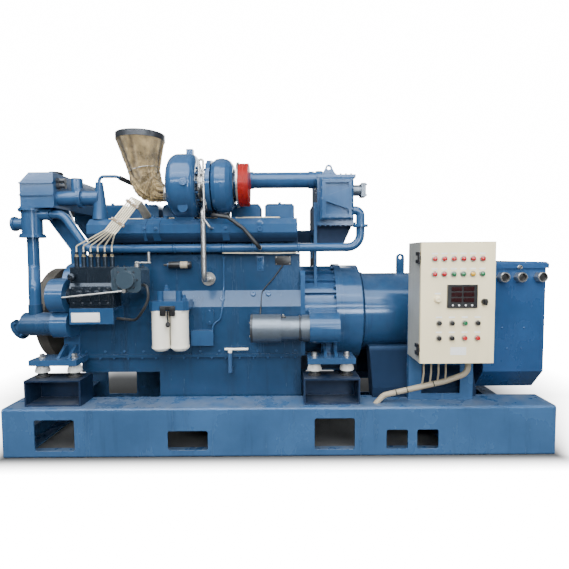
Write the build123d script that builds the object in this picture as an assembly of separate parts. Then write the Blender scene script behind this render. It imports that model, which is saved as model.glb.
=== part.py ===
from build123d import *
import os

# A diesel generator set on a folded steel base. Millimetres, z up, floor at z 0.
# The middle of the base is x 0, y 0. The engine's free end points to -x, the
# generator to +x, and the side with the control cabinet faces -y.

# Base frame
base_length = 3300
base_width = 1100
base_height = 300
plate = 10
fold_radius = 16
top_flange = 220
bottom_flange = 120
window_sill = 42
window_corner = 14
window_centre_shares = (-0.812, -0.330, 0.202, 0.428, 0.539)
window_width_shares = (0.073, 0.073, 0.073, 0.039, 0.039)
window_height_shares = (0.64, 0.40, 0.64, 0.40, 0.40)
cross_width = 100
cross_height = 150
cross_centre_shares = (-0.96, -0.52, 0, 0.66, 0.96)

# Two like pieces evenly about a middle
pair_shares = (-0.5, 0.5)

# Anti-vibration mounts and engine feet
mount_box_length = 340
mount_box_depth = 175
mount_box_height = 160
mount_box_inset = 45
isolator_spacing = 200
isolator_height = 85
isolator_radius = 44
isolator_radius_shares = (1, 1, 0.5, 0.5, 0.95, 0.66, 0.66)
isolator_height_shares = (0, 0.12, 0.12, 0.36, 0.36, 0.9, 1)
foot_length = 290
foot_depth = 160
foot_thickness = 35
foot_front_shift = 43
foot_rear_share = 0.714
gusset_height = 65
gusset_depth = 115
gusset_thickness = 18
gusset_spacing = 66

# Engine levels and crankcase
shaft_rise = 505
block_drop = 230
deck_rise = 410
ledge_low_rise = 73
ledge_high_rise = 174
lower_half_width = 320
upper_half_width = 270
cylinder_count = 6
cylinder_pitch = 230
block_margin = 17.5
block_rear = 142.5
side_cover_width = 52
side_cover_height = 108
side_cover_thickness = 12
near_cover_shares = (0.325, 0.59)
far_cover_shares = (0.12, 0.37, 0.63, 0.88)
side_cover_top_gap = 6

# Oil pan
pan_flange = 20
pan_clearance = 20
pan_rim = 20
pan_floor_gap = 35
pan_shallow_drop = 117
pan_step_share = 0.355
pan_corner = 28

# Cylinder heads and rocker covers
head_gap = 12
head_height = 225
head_half_width = 215
head_chamfer = 18
rocker_length = 200
rocker_height = 115
rocker_half_width = 110
rocker_corner = 16

# Manifolds along the heads
port_length = 45
port_width = 110
manifold_depth = 130
manifold_height = 146
manifold_rise = 75
manifold_overhang = 35
manifold_reach = 112
manifold_front_shares = (0.38, 0.74)
manifold_top_share = 0.62
strap_width = 40
strap_thickness = 8
strap_plate_length = 110
strap_shares = (0.33, 0.66)

# Gear case, damper and sea-water pump at the free end
gear_case_length = 100
gear_case_top_rise = 355
gear_case_corner = 140
pump_drive_radius = 105
front_cover_length = 58
front_cover_radius = 200
damper_radius = 320
damper_length = 70
damper_gap = 65
damper_hub_radius = 62
sea_pump_radius = 72
sea_pump_length = 190
sea_pump_drop = 15
sea_pump_y = -410
sea_neck_x = -1498
sea_neck_radius = 40
sea_neck_length = 50
sea_inlet_radius = 45
sea_inlet_bore = 33
sea_inlet_bore_depth = 70
sea_inlet_reach = 98
sea_inlet_setback = 40
sea_inlet_lift = 12
sea_inlet_angle = 30
sea_pad_margin = 14
sea_flange_radius = 66
sea_flange_thickness = 18

# Side pads that carry the feet
pad_half_width = 330
pad_length = 100

# Flywheel housing and starter
flywheel_length = 252
flywheel_radius = 300
flywheel_flange_radius = 337
flywheel_flange = 22
flywheel_plate = 28
flywheel_plate_drop = 245
flywheel_plate_rise = 300
rib_height = 24
rib_thickness = 12
rib_count = 8
rib_first_angle = 30
rib_last_angle = 150
starter_y = -420
starter_drop = 50
starter_pad_start = 48
starter_pad_radius = 95
starter_end_radius = 87
starter_end_length = 185
starter_body_radius = 74
starter_body_length = 125
starter_nose_radius = 82

# Injection pump, governor and fuel lines
pump_y = -430
pump_start_gap = 27
pump_length = 262
pump_bracket_height = 95
pump_bracket_top_rise = 90
pump_bracket_reach = 180
pump_bracket_plate = 14
pump_base_half = 62
pump_head_half = 44
pump_base_height = 150
pump_head_height = 96
valve_pitch = 43
valve_radius = 14
valve_height = 62
nut_radius = 9
nut_height = 30
coupling_radius = 52
coupling_rise = 70
governor_length = 175
governor_half = 84
governor_height = 150
governor_rise = 95
governor_dome_radius = 52
governor_dome_height = 24
governor_corner = 20
line_radius = 4.5
line_pitch = 11
line_rise = 34
line_bend = 14
ribbon_low_shift = 119.5
ribbon_low_reach = 52
ribbon_low_rise = 540
ribbon_high_shift = 264.5
ribbon_high_reach = -5
ribbon_high_rise = 745
ribbon_lean_share = 0.5
line_run_rise = 14
line_turn_pitch = 13
line_turn_first = 26
link_radius = 6
link_gap = 8
link_start_drop = 12
link_pivot_radius = 12
link_pivot_drop = 65
link_pivot_share = 0.45

# Fuel filters, junction box and dipstick
filter_radius = 55
filter_length = 250
filter_spacing = 116
filter_centre = -666
filter_y = -418
filter_top_rise = 68
filter_head_height = 58
filter_head_margin = 8
filter_nose_length = 60
filter_nose_radius = 20
filter_shoulder = 14
box_length = 140
box_height = 96
box_depth = 45
box_start = -552
box_drop = 72
solenoid_start = -700
solenoid_length = 145
solenoid_radius = 20
solenoid_gap = 18
solenoid_rise = 342
solenoid_foot_shares = (0.3, 0.7)
dipstick_x = -310
dipstick_radius = 13
dipstick_boss = 34
dipstick_handle_length = 150
dipstick_handle_radius = 8

# Turbocharger
turbo_y = -310
turbo_rise = 840
scroll_drop = 8
turbine_start = -670
turbine_length = 179
turbine_radius = 200
turbine_left_shoulder = 64
turbine_right_shoulder = 44
turbine_foot_length = 120
turbine_foot_depth = 100
turbine_lug_length = 42
turbine_lug_height = 30
turbine_lug_share = 0.7
turbine_boss_radius = 22
turbine_boss_height = 8
turbine_boss_share = 0.69
turbine_plug_radius = 30
turbine_plug_drop = 142
turbine_plug_reach = 152
turbine_plug_share = 0.587
centre_length = 61
centre_radius = 90
centre_waist_radius = 72
centre_flange = 12
compressor_length = 160
compressor_radius = 172
compressor_plate = 26
compressor_plate_radius = 160
compressor_face_shares = ((0.16, 0.78), (0.22, 0.9), (0.36, 0.98), (0.55, 1), (0.75, 0.97),
                          (0.9, 0.88), (1, 0.74), (1, 0.62), (0.9, 0.55), (0.74, 0.5))
discharge_share = 0.3
neck_radius = 72
neck_length = 62
neck_band = 14
neck_band_height = 6
air_ring_length = 73
air_ring_radius = 129
air_ring_plate = 10

# Lagged exhaust elbow
lagging_drop = 48
lagging_reach = 183
lagging_height = 325
lagging_radius = 147
lagging_reach_shares = (0, 0.25, 0.5, 0.7, 0.83, 0.907, 1)
lagging_height_shares = (0, 0, 0.05, 0.148, 0.3, 0.492, 1)
lagging_radius_shares = (0.354, 0.37, 0.49, 0.6, 0.66, 0.7, 1)
lagging_angles = (0, 8, 25, 46, 67, 82, 90)
exhaust_bore = 84
exhaust_bore_depth = 110
rim_radius = 149
rim_height = 37

# Charge air path to the rear of the engine
charge_y = -124
charge_radius = 52
charge_drop = 8
charge_start = -226
charge_band = 34
charge_band_height = 5
charge_band_shares = (0.06, 0.9)
cooler_start = 254
cooler_length = 232
cooler_rise = 589
cooler_height = 320
cooler_front = -270
cooler_back = 250
cooler_flange = 18
cooler_flange_edge = 12
water_box_depth = 85
water_box_inset = 12
water_box_rib = 16
pocket_depth = 22
cooler_lug_radius = 22
cooler_lug_half = 47
cooler_lug_rise = 44
cooler_lug_thickness = 18
cooler_lug_hole = 11
cooler_lug_inset = 8
cooler_lug_share = 0.32
horn_margin = 8
horn_length = 40
horn_taper = 50
horn_tip_radius = 20
duct_front = -200
duct_drop = 132
duct_taper = 60
bracket_thickness = 20
bracket_half_width = 230
bracket_rise = 150
bracket_window_share = 0.55
outlet_rise = 232
outlet_radius = 36
outlet_bore = 26
outlet_length = 58
outlet_flange = 88
outlet_flange_thickness = 30

# Fresh-water circuit
water_y = -322
water_rise = 447
water_radius = 27
water_bend = 80
water_rise_x = 520
water_flange_radius = 48
water_flange_thickness = 16
water_flange_rise = 128
water_elbow_rise = 216
water_elbow_reach = 34
water_slope_start = -1205
water_slope_end = -1350
water_high_rise = 665
thermostat_x = -1546
thermostat_radius = 60
thermostat_rise = 520
thermostat_flange_radius = 76
thermostat_flange = 16
stub_radius = 38
stub_rim_radius = 46
stub_bore = 28
stub_level_share = 0.48
stub_reach = 116
stub_rim = 16
branch_radius = 36
branch_reach = 120
tank_start = -1582
tank_length = 208
tank_rise = 701
tank_height = 216
tank_half_width = 380
tank_slope = 60
tank_rib = 10
tank_rib_count = 3
tank_bracket_thickness = 20
tank_bracket_y = 190
tank_bracket_web = 90
crossover_radius = 46
crossover_rise = 65
crossover_flange_radius = 62
crossover_flange = 24
crossover_pot_radius = 34
crossover_pot_height = 75
crossover_pot_share = 0.45
down_pipe_radius = 35
down_pipe_bend = 60
down_pipe_turn = 110
riser_x = -1120
riser_low_radius = 48
riser_top_radius = 22
riser_rise = 863
vent_radius = 10
vent_bend = 30
vent_rise = 900
vent_back_y = -190
vent_turn_x = -1010
vent_drop_x = -900
vent_end_rise = 850

# Turbo oil pipes and coolant hose
drain_x = -450
drain_y = -430
drain_radius = 16
drain_bend = 42
drain_rise = 685
drain_end_rise = 251
drain_flange_radius = 44
drain_flange_thickness = 12
feed_radius = 7
feed_y = -462
feed_top_rise = 967
feed_rise = 795
feed_spacing = 26
feed_bend = 12
feed_jog = 34
feed_jog_rise = 615
feed_end_rise = 567
hose_radius = 12
hose_bend = 48
hose_y = -425
hose_shifts = (30, 130, 225, 318)
hose_rises = (647, 631, 561, 447)

# Generator
adapter_length = 171
adapter_lip = 24
adapter_waist_drop = 10
stator_radius = 270
stator_length = 735
stator_seam = 14
stator_seam_height = 8
lug_radius = 26
lug_hole = 12
lug_rise = 109
lug_thickness = 30
lug_share = 0.4
gen_foot_start_share = 0.04
gen_foot_end_share = 0.93
gen_foot_outer = 370
gen_foot_inner = 250
gen_foot_shoulder_rise = 60
gen_foot_height = 300
gen_foot_top_inner = 150
terminal_length = 383
terminal_half_width = 350
terminal_drop = 350
terminal_rise = 307
terminal_chamfer_drop = 130
terminal_chamfer_depth = 120
lid_overhang = 12
lid_height = 40
gland_radius = 33
gland_length = 46
gland_bore = 25
gland_shares = (0.27, 0.55, 0.88)
gland_drop = 55

# Control cabinet
cabinet_inset = 234.5
cabinet_width = 415
cabinet_rise = 288
cabinet_height = 683
cabinet_back = -420
cabinet_depth = 215
sheet = 3
door_gap = 5
door_thickness = 20
stand_inset = 8
stand_depth = 45
stand_plate = 8
stand_top_rise = 300
stand_window_width = 240
stand_window_height = 180
stand_window_sill = 38
bottom_gland_radius = 12
bottom_gland_length = 30
bottom_gland_count = 7
bottom_gland_shares = (0.15, 0.78)
bottom_gland_depth_share = 0.45
hinge_offset = 9
hinge_radius = 6
hinge_pin_radius = 3
running_clearance = 0.05
hinge_height = 63
hinge_barrel_height = 21
hinge_knuckle_gap = 0.5
hinge_leaf = 3
hinge_arm = 10
hinge_leaf_start = 15
hinge_leaf_depth = 30
hinge_level_shares = (0.112, 0.873)
lamp_radius = 14.5
lamp_length = 14
lamp_bezel_radius = 17
lamp_bezel_length = 5
lamp_count = 6
lamp_shares = (0.18, 0.82)
lamp_level_shares = (0.862, 0.738)
meter_width = 166
meter_height = 130
meter_depth = 12
meter_centre_shares = (0.553, 0.556)
meter_bezel = 8
meter_recess = 3
switch_radius = 15
switch_length = 16
switch_cap_radius = 11
switch_cap_length = 8
switch_count = 4
switch_shares = (0.25, 0.77)
switch_level_shares = (0.336, 0.212)
buzzer_centre_shares = (0.227, 0.53)
buzzer_radius = 18
knob_centre_shares = (0.855, 0.51)
knob_radius = 17
knob_length = 22
knob_grip_length = 34
knob_grip_width = 9
knob_grip_depth = 10

# Cable harness under the cabinet
bundle_radius = 17
bundle_bend = 60
bundle_drop = 60
bundle_shifts = (200, 60, -100, -160)
bundle_reaches = (102, 85, 58, 50)
bundle_rises = (146, 108, 62, 45)
bundle_end_shift = -215
cable_radius = 5.5
cable_bend = 30
cable_drop = 60
loose_cable_count = 4

# Levels and places that follow from the driving dimensions
base_half = base_length / 2
side_y = base_width / 2
shaft_z = base_height + shaft_rise
block_bottom = shaft_z - block_drop
pan_half_width = min(pad_half_width - pan_rim, side_y - top_flange - pan_clearance)
pan_floor = cross_height + pan_floor_gap
deck_z = shaft_z + deck_rise
head_top = deck_z + head_height
rocker_top = head_top + rocker_height
block_length = cylinder_count * cylinder_pitch + 2 * block_margin
block_front = block_rear - block_length
cylinder_x = [block_front + block_margin + cylinder_pitch * (i + 0.5) for i in range(cylinder_count)]
gear_front = block_front - gear_case_length
mount_y = side_y - mount_box_inset - mount_box_depth / 2
mount_top = base_height + mount_box_height
foot_bottom = mount_top + isolator_height
foot_top = foot_bottom + foot_thickness
flywheel_rear = block_rear + flywheel_length
front_pad_x = (gear_front + block_front) / 2
rear_pad_x = block_rear + foot_rear_share * flywheel_length
foot_centres = (front_pad_x - foot_front_shift, rear_pad_x)
manifold_bottom = deck_z + manifold_rise
manifold_top = manifold_bottom + manifold_height
manifold_back_y = head_half_width + port_length
manifold_front_y = manifold_back_y + manifold_depth
manifold_x = (cylinder_x[0] - manifold_overhang, cylinder_x[-1] + manifold_reach)
turbo_z = shaft_z + turbo_rise
scroll_z = turbo_z - scroll_drop
turbine_end = turbine_start + turbine_length
compressor_start = turbine_end + centre_length
neck_end = compressor_start + compressor_face_shares[-1][0] * compressor_length + neck_length
pump_start = block_front + pump_start_gap
pump_end = pump_start + pump_length
pump_bottom = shaft_z + pump_bracket_top_rise
pump_top = pump_bottom + pump_base_height + pump_head_height
valve_x = [(pump_start + pump_end) / 2 + valve_pitch * (i - (cylinder_count - 1) / 2)
           for i in range(cylinder_count)]
valve_top = pump_top + valve_height + nut_height
lagging_x = turbine_start - lagging_reach
lagging_low = turbo_z - lagging_drop
lagging_top = lagging_low + lagging_height
adapter_end = flywheel_rear + adapter_length
stator_end = adapter_end + stator_length
terminal_end = stator_end + terminal_length
terminal_bottom = shaft_z - terminal_drop
terminal_top = shaft_z + terminal_rise
cabinet_start = adapter_end + cabinet_inset
cabinet_bottom = base_height + cabinet_rise
cabinet_end = cabinet_start + cabinet_width
cabinet_top = cabinet_bottom + cabinet_height
shell_front = cabinet_back - cabinet_depth
door_back = shell_front - door_gap
door_front = door_back - door_thickness
cooler_bottom = shaft_z + cooler_rise
cooler_end = cooler_start + cooler_length
cooler_top = cooler_bottom + cooler_height
charge_z = cooler_top - charge_drop
water_level = shaft_z + water_rise
water_high = shaft_z + water_high_rise
thermostat_bottom = shaft_z + thermostat_rise
tank_bottom = shaft_z + tank_rise
tank_end = tank_start + tank_length
tank_top = tank_bottom + tank_height
crossover_z = tank_bottom + crossover_rise
riser_top = shaft_z + riser_rise
sea_pump_z = shaft_z - sea_pump_drop
front_cover_front = gear_front - front_cover_length
cabinet_axis_x = cabinet_start - hinge_offset
cabinet_axis_y = (door_front + door_back) / 2


# Shapes that several pieces use
def block(x, y, z):
    """A box between two values on each axis."""
    size = Box(x[1] - x[0], y[1] - y[0], z[1] - z[0])
    return Pos((x[0] + x[1]) / 2, (y[0] + y[1]) / 2, (z[0] + z[1]) / 2) * size


def rod_x(x, y, z, radius):
    """A round bar along x."""
    return Pos((x[0] + x[1]) / 2, y, z) * Rot(0, 90, 0) * Cylinder(radius, x[1] - x[0])


def rod_y(x, y, z, radius):
    """A round bar along y."""
    return Pos(x, (y[0] + y[1]) / 2, z) * Rot(90, 0, 0) * Cylinder(radius, y[1] - y[0])


def rod_z(x, y, z, radius):
    """A round bar along z."""
    return Pos(x, y, (z[0] + z[1]) / 2) * Cylinder(radius, z[1] - z[0])


def prism_x(outline, x):
    """A y-z outline drawn out along x."""
    return extrude(Plane.YZ.offset(x[0]) * outline, amount=x[1] - x[0], dir=(1, 0, 0))


def prism_y(outline, y):
    """An x-z outline drawn out along y."""
    plane = Plane(origin=(0, y[1], 0), x_dir=(1, 0, 0), z_dir=(0, -1, 0))
    return extrude(plane * outline, amount=y[1] - y[0], dir=(0, -1, 0))


def outline_of(points):
    """A closed outline through points."""
    return Polygon(*points, align=None)


def rod_along(start, direction, length, radius):
    """A round bar from a point along a direction."""
    return extrude(Plane(origin=start, z_dir=direction) * Circle(radius), amount=length)


def spun_x(outline, y, z):
    """An outline of x and radius turned about an axis along x."""
    plane = Plane(origin=(0, y, z), x_dir=(1, 0, 0), z_dir=(0, -1, 0))
    return revolve(plane * outline, axis=Axis((0, y, z), (1, 0, 0)))


def turned_x(points, y, z):
    """A profile of (x, radius) points turned about an axis along x."""
    return spun_x(outline_of(points), y, z)


def turned_z(points, x, y):
    """A profile of (radius, z) points turned about an upright axis."""
    plane = Plane(origin=(x, y, 0), x_dir=(1, 0, 0), z_dir=(0, -1, 0))
    return revolve(plane * outline_of(points), axis=Axis((x, y, 0), (0, 0, 1)))


def pipe(points, radius, bend):
    """A round pipe of straight runs and tangent bends."""
    path = FilletPolyline(*points, radius=bend)
    start = Plane(origin=path @ 0, z_dir=path % 0)
    return sweep(start * Circle(radius), path=path)


def between(ends, share):
    """The value at a share of the way from one end to the other."""
    return ends[0] + (ends[1] - ends[0]) * share


def stepped(ends, count):
    """Evenly spaced values from one end to the other."""
    return [between(ends, i / (count - 1)) for i in range(count)]


def far_side(shape):
    """The same piece on the other side of the set."""
    return mirror(shape, about=Plane.XZ)


def joined(shapes):
    """One solid made of touching shapes."""
    total = shapes[0]
    for shape in shapes[1:]:
        total = total + shape
    return total


def largest(shape):
    """The biggest solid left after a cut."""
    return shape.solids().sort_by(SortBy.VOLUME)[-1]


def kit(shapes):
    """Separate solids that share a name."""
    return Compound(children=list(shapes))


# Base frame
def make_front_beam():
    """Folded channel with its web outward and windows through the web."""
    outline = outline_of([
        (-side_y, 0), (-side_y + bottom_flange, 0), (-side_y + bottom_flange, plate),
        (-side_y + plate, plate), (-side_y + plate, base_height - plate),
        (-side_y + top_flange, base_height - plate), (-side_y + top_flange, base_height),
        (-side_y, base_height)])
    outline = fillet(outline.vertices().group_by(Axis.X)[1], radius=fold_radius - plate)
    outline = fillet(outline.vertices().group_by(Axis.X)[0], radius=fold_radius)
    beam = prism_x(outline, (-base_half, base_half))
    rows = zip(window_centre_shares, window_width_shares, window_height_shares)
    for centre, width, height in rows:
        tall = height * base_height
        opening = Pos(centre * base_half, window_sill + tall / 2) * RectangleRounded(
            width * base_length, tall, window_corner)
        beam = beam - prism_y(opening, (-side_y - plate, -side_y + fold_radius))
    return beam


def make_cross_members(beams):
    """Channels across the base, coped to the beams."""
    members = []
    for share in cross_centre_shares:
        x = share * base_half
        low = x - cross_width / 2
        high = x + cross_width / 2
        member = block((low, high), (-side_y + plate, side_y - plate), (0, cross_height))
        hollow = block((low + plate, high), (-side_y, side_y), (plate, cross_height - plate))
        member = member - hollow
        for beam in beams:
            member = member - beam
        members.append(largest(member))
    return kit(members)


# Mounts and feet
def make_mount_boxes():
    """Plate boxes on the beams, open to the outside and closed by a back plate."""
    outer = Pos(0, base_height + mount_box_height / 2) * Rectangle(mount_box_length, mount_box_height)
    inner = Pos(0, base_height + mount_box_height / 2) * Rectangle(
        mount_box_length - 2 * plate, mount_box_height - 2 * plate)
    boxes = []
    for x in foot_centres:
        back = -mount_y + mount_box_depth / 2
        tube = prism_y(Pos(x, 0) * (outer - inner), (back - mount_box_depth, back))
        tube = tube + prism_y(Pos(x, 0) * inner, (back - plate, back))
        boxes += [tube, far_side(tube)]
    return kit(boxes)


def make_isolators():
    """Bell-shaped rubber mounts, two on each box."""
    profile = [(0, mount_top)]
    for radius, height in zip(isolator_radius_shares, isolator_height_shares):
        profile.append((radius * isolator_radius, mount_top + height * isolator_height))
    profile.append((0, foot_bottom))
    bells = []
    for x in foot_centres:
        for step in pair_shares:
            for side in (-mount_y, mount_y):
                bells.append(turned_z(profile, x + step * isolator_spacing, side))
    return kit(bells)


def make_engine_feet():
    """Foot plates with gussets against the side pads."""
    feet = []
    for x, pad_x in zip(foot_centres, (front_pad_x, rear_pad_x)):
        foot = block((x - foot_length / 2, x + foot_length / 2),
                     (-pad_half_width - foot_depth, -pad_half_width), (foot_bottom, foot_top))
        for step in pair_shares:
            mid = pad_x + step * gusset_spacing
            web = outline_of([(-pad_half_width, foot_top), (-pad_half_width, foot_top + gusset_height),
                              (-pad_half_width - gusset_thickness, foot_top + gusset_height),
                              (-pad_half_width - gusset_depth, foot_top)])
            foot = foot + prism_x(web, (mid - gusset_thickness / 2, mid + gusset_thickness / 2))
        feet += [foot, far_side(foot)]
    return kit(feet)


# Engine block
def make_crankcase():
    """Block with a sloping ledge along each side."""
    half = [(lower_half_width, block_bottom), (lower_half_width, shaft_z + ledge_low_rise),
            (upper_half_width, shaft_z + ledge_high_rise), (upper_half_width, deck_z)]
    outline = outline_of(half + [(-y, z) for y, z in reversed(half)])
    return prism_x(outline, (block_front, block_rear))


def make_side_covers():
    """Oval plates low on both sides of the block."""
    z = shaft_z + ledge_low_rise - side_cover_top_gap - side_cover_height / 2

    def cover(share):
        x = between((block_front, block_rear), share)
        shape = Pos(x, z) * SlotOverall(side_cover_height, side_cover_width, rotation=90)
        return prism_y(shape, (-lower_half_width - side_cover_thickness, -lower_half_width))

    near = [cover(share) for share in near_cover_shares]
    far = [far_side(cover(share)) for share in far_cover_shares]
    return kit(near + far)


def make_oil_pan():
    """Pan with a deep sump that drops between the beams."""
    step_x = between((block_front, block_rear), pan_step_share)
    top = block_bottom - pan_flange
    body = outline_of([
        (block_front, top), (block_front, block_bottom - pan_shallow_drop),
        (step_x, block_bottom - pan_shallow_drop), (step_x, pan_floor),
        (block_rear, pan_floor), (block_rear, top)])
    pan = prism_y(body, (-pan_half_width, pan_half_width))
    low_edges = pan.edges().filter_by(Axis.X).group_by(Axis.Z)[0]
    pan = chamfer(low_edges, pan_corner)
    flange = block((block_front, block_rear), (-pad_half_width, pad_half_width), (top, block_bottom))
    return pan + flange


def make_cylinder_heads():
    """One head for each cylinder."""
    heads = []
    for x in cylinder_x:
        width = cylinder_pitch - head_gap
        head = block((x - width / 2, x + width / 2), (-head_half_width, head_half_width),
                     (deck_z, head_top))
        head = chamfer(head.edges().filter_by(Axis.X).group_by(Axis.Z)[-1], head_chamfer)
        heads.append(head)
    return kit(heads)


def make_rocker_covers():
    """One cover on each head, with softened edges."""
    covers = []
    for x in cylinder_x:
        cover = block((x - rocker_length / 2, x + rocker_length / 2),
                      (-rocker_half_width, rocker_half_width), (head_top, rocker_top))
        cover = chamfer(cover.edges().group_by(Axis.Z)[-1], rocker_corner)
        covers.append(cover)
    return kit(covers)


# Manifolds
def manifold_body(ends):
    """Duct with a flat front, a sloping top and a port for each head."""
    low, high = (manifold_bottom + share * manifold_height for share in manifold_front_shares)
    top_y = between((manifold_back_y, manifold_front_y), manifold_top_share)
    outline = outline_of([
        (-manifold_back_y, manifold_bottom), (-top_y, manifold_bottom), (-manifold_front_y, low),
        (-manifold_front_y, high), (-top_y, manifold_top), (-manifold_back_y, manifold_top)])
    body = prism_x(outline, ends)
    for x in cylinder_x:
        body = body + block((max(x - port_width / 2, ends[0]), min(x + port_width / 2, ends[1])),
                            (-manifold_back_y, -head_half_width), (manifold_bottom, manifold_top))
    return body


def make_exhaust_manifold():
    """Water-cooled exhaust manifold with straps round its front and top."""
    body = manifold_body(manifold_x)
    low = manifold_bottom + manifold_front_shares[0] * manifold_height
    high = manifold_bottom + manifold_front_shares[1] * manifold_height
    for share in strap_shares:
        x = between(manifold_x, share)
        body = body + block((x - strap_width / 2, x + strap_width / 2),
                            (-manifold_front_y - strap_thickness, -manifold_front_y), (low, high))
        top_y = between((manifold_back_y, manifold_front_y), manifold_top_share)
        body = body + block((x - strap_plate_length / 2, x + strap_plate_length / 2),
                            (-top_y, -manifold_back_y), (manifold_top, manifold_top + strap_thickness))
    return body


def make_intake_manifold():
    """Charge-air manifold along the far side."""
    return far_side(manifold_body((manifold_x[0], block_rear)))


# Free end of the engine
def make_gear_case():
    """Gear case with lobes for the pump drive and the sea-water pump, and pads for the feet."""
    tall = gear_case_top_rise + shaft_z - foot_bottom
    outline = Pos(0, foot_bottom + tall / 2) * Rectangle(2 * pad_half_width, tall)
    outline = fillet(outline.vertices().group_by(Axis.Y)[-1], radius=gear_case_corner)
    lobes = ((pump_y, pump_bottom + coupling_rise, pump_drive_radius),
             (sea_pump_y, sea_pump_z, sea_pump_radius + sea_pad_margin))
    for y, z, radius in lobes:
        outline = outline + Pos(y, z) * Circle(radius) + Pos(y / 2, z) * Rectangle(-y, 2 * radius)
    case = prism_x(outline, (gear_front, block_front))
    return case + rod_x((front_cover_front, gear_front), 0, shaft_z, front_cover_radius)


def make_damper():
    """Vibration damper on the free end of the crankshaft."""
    back = front_cover_front - damper_gap
    disc = rod_x((back - damper_length, back), 0, shaft_z, damper_radius)
    return disc + rod_x((back, front_cover_front), 0, shaft_z, damper_hub_radius)


def make_sea_water_pump():
    """Pump on the gear case with an upright outlet neck and an inlet that slants down."""
    front = gear_front - sea_pump_length
    pump = rod_x((front, gear_front), sea_pump_y, sea_pump_z, sea_pump_radius)
    neck_top = sea_pump_z + sea_pump_radius + sea_neck_length
    pump = pump + rod_z(sea_neck_x, sea_pump_y, (sea_pump_z, neck_top), sea_neck_radius)
    slant = Vector(-1, 0, 0).rotate(Axis.Y, -sea_inlet_angle)
    root = Vector(front + sea_inlet_setback, sea_pump_y, sea_pump_z + sea_inlet_lift)
    tip = root + slant * sea_inlet_reach
    pump = pump + rod_along(root, slant, sea_inlet_reach, sea_inlet_radius)
    pump = pump + rod_along(tip, -slant, sea_flange_thickness, sea_flange_radius)
    return pump - rod_along(tip, -slant, sea_inlet_bore_depth, sea_inlet_bore)


# Flywheel end of the engine
def make_flywheel_housing():
    """Round housing with ribs, a starter lobe and side pads for the feet."""
    mount_plate = block((block_rear, block_rear + flywheel_plate), (-lower_half_width, lower_half_width),
                        (shaft_z - flywheel_plate_drop, shaft_z + flywheel_plate_rise))
    mount_plate = chamfer(mount_plate.edges().filter_by(Axis.X).group_by(Axis.Z)[-1], rib_height)
    barrel = turned_x([
        (block_rear, 0), (block_rear, flywheel_radius), (flywheel_rear - flywheel_flange, flywheel_radius),
        (flywheel_rear - flywheel_flange, flywheel_flange_radius),
        (flywheel_rear, flywheel_flange_radius), (flywheel_rear, 0)], 0, shaft_z)
    ribs = []
    for angle in stepped((rib_first_angle, rib_last_angle), rib_count):
        fin = Pos((block_rear + flywheel_rear) / 2, 0, flywheel_radius) * Box(
            flywheel_length, rib_thickness, 2 * rib_height)
        ribs.append(Pos(0, 0, shaft_z) * Rot(90 - angle, 0, 0) * fin)
    starter_z = shaft_z - starter_drop
    lobe_x = (block_rear + starter_pad_start, flywheel_rear - flywheel_flange)
    lobe = rod_x(lobe_x, starter_y, starter_z, starter_pad_radius)
    bridge = block(lobe_x, (starter_y, -flywheel_radius / 2),
                   (starter_z - starter_pad_radius, starter_z + starter_pad_radius))
    pads = block((rear_pad_x - pad_length / 2, rear_pad_x + pad_length / 2),
                 (-pad_half_width, pad_half_width), (foot_bottom, foot_top + gusset_height))
    return joined([mount_plate, barrel, lobe, bridge, pads] + ribs)


def make_starter_motor():
    """Starter along the block with its nose on the housing lobe."""
    nose_end = block_rear + starter_pad_start
    start = block_rear - starter_end_length - starter_body_length
    middle = start + starter_end_length
    profile = [(start, 0), (start, starter_end_radius), (middle, starter_end_radius),
               (middle, starter_body_radius), (block_rear, starter_body_radius),
               (block_rear, starter_nose_radius), (nose_end, starter_nose_radius), (nose_end, 0)]
    return turned_x(profile, starter_y, shaft_z - starter_drop)


# Fuel injection
def make_pump_bracket():
    """Folded shelf that carries the injection pump on the block."""
    y = (-lower_half_width - pump_bracket_reach, -lower_half_width)
    z = (pump_bottom - pump_bracket_height, pump_bottom)
    shelf = block((pump_start, pump_end), y, z)
    under = block((pump_start, pump_end), (y[0] + pump_bracket_plate, y[1] - pump_bracket_plate),
                  (z[0], z[1] - pump_bracket_plate))
    shelf = shelf - under
    return shelf


def make_injection_pump():
    """Six-plunger pump with delivery valves and its drive coupling."""
    neck = pump_bottom + pump_base_height
    outline = outline_of([
        (pump_y - pump_base_half, pump_bottom), (pump_y + pump_base_half, pump_bottom),
        (pump_y + pump_base_half, neck - pump_base_half / 2), (pump_y + pump_head_half, neck),
        (pump_y + pump_head_half, pump_top), (pump_y - pump_head_half, pump_top),
        (pump_y - pump_head_half, neck), (pump_y - pump_base_half, neck - pump_base_half / 2)])
    pump = prism_x(outline, (pump_start, pump_end))
    for x in valve_x:
        pump = pump + rod_z(x, pump_y, (pump_top, pump_top + valve_height), valve_radius)
        pump = pump + rod_z(x, pump_y, (pump_top + valve_height, pump_top + valve_height + nut_height),
                            nut_radius)
    return pump + rod_x((block_front, pump_start), pump_y, pump_bottom + coupling_rise, coupling_radius)


def make_governor():
    """Governor on the end of the pump, with a round spring dome."""
    z = (pump_bottom + governor_rise, pump_bottom + governor_rise + governor_height)
    body = block((pump_end, pump_end + governor_length), (pump_y - governor_half, pump_y + governor_half), z)
    body = chamfer(body.edges().filter_by(Axis.Y), governor_corner)
    body = body + rod_y(pump_end + governor_length / 2, (pump_y - governor_half - governor_dome_height,
                        pump_y - governor_half), (z[0] + z[1]) / 2, governor_dome_radius)
    return body


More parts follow.
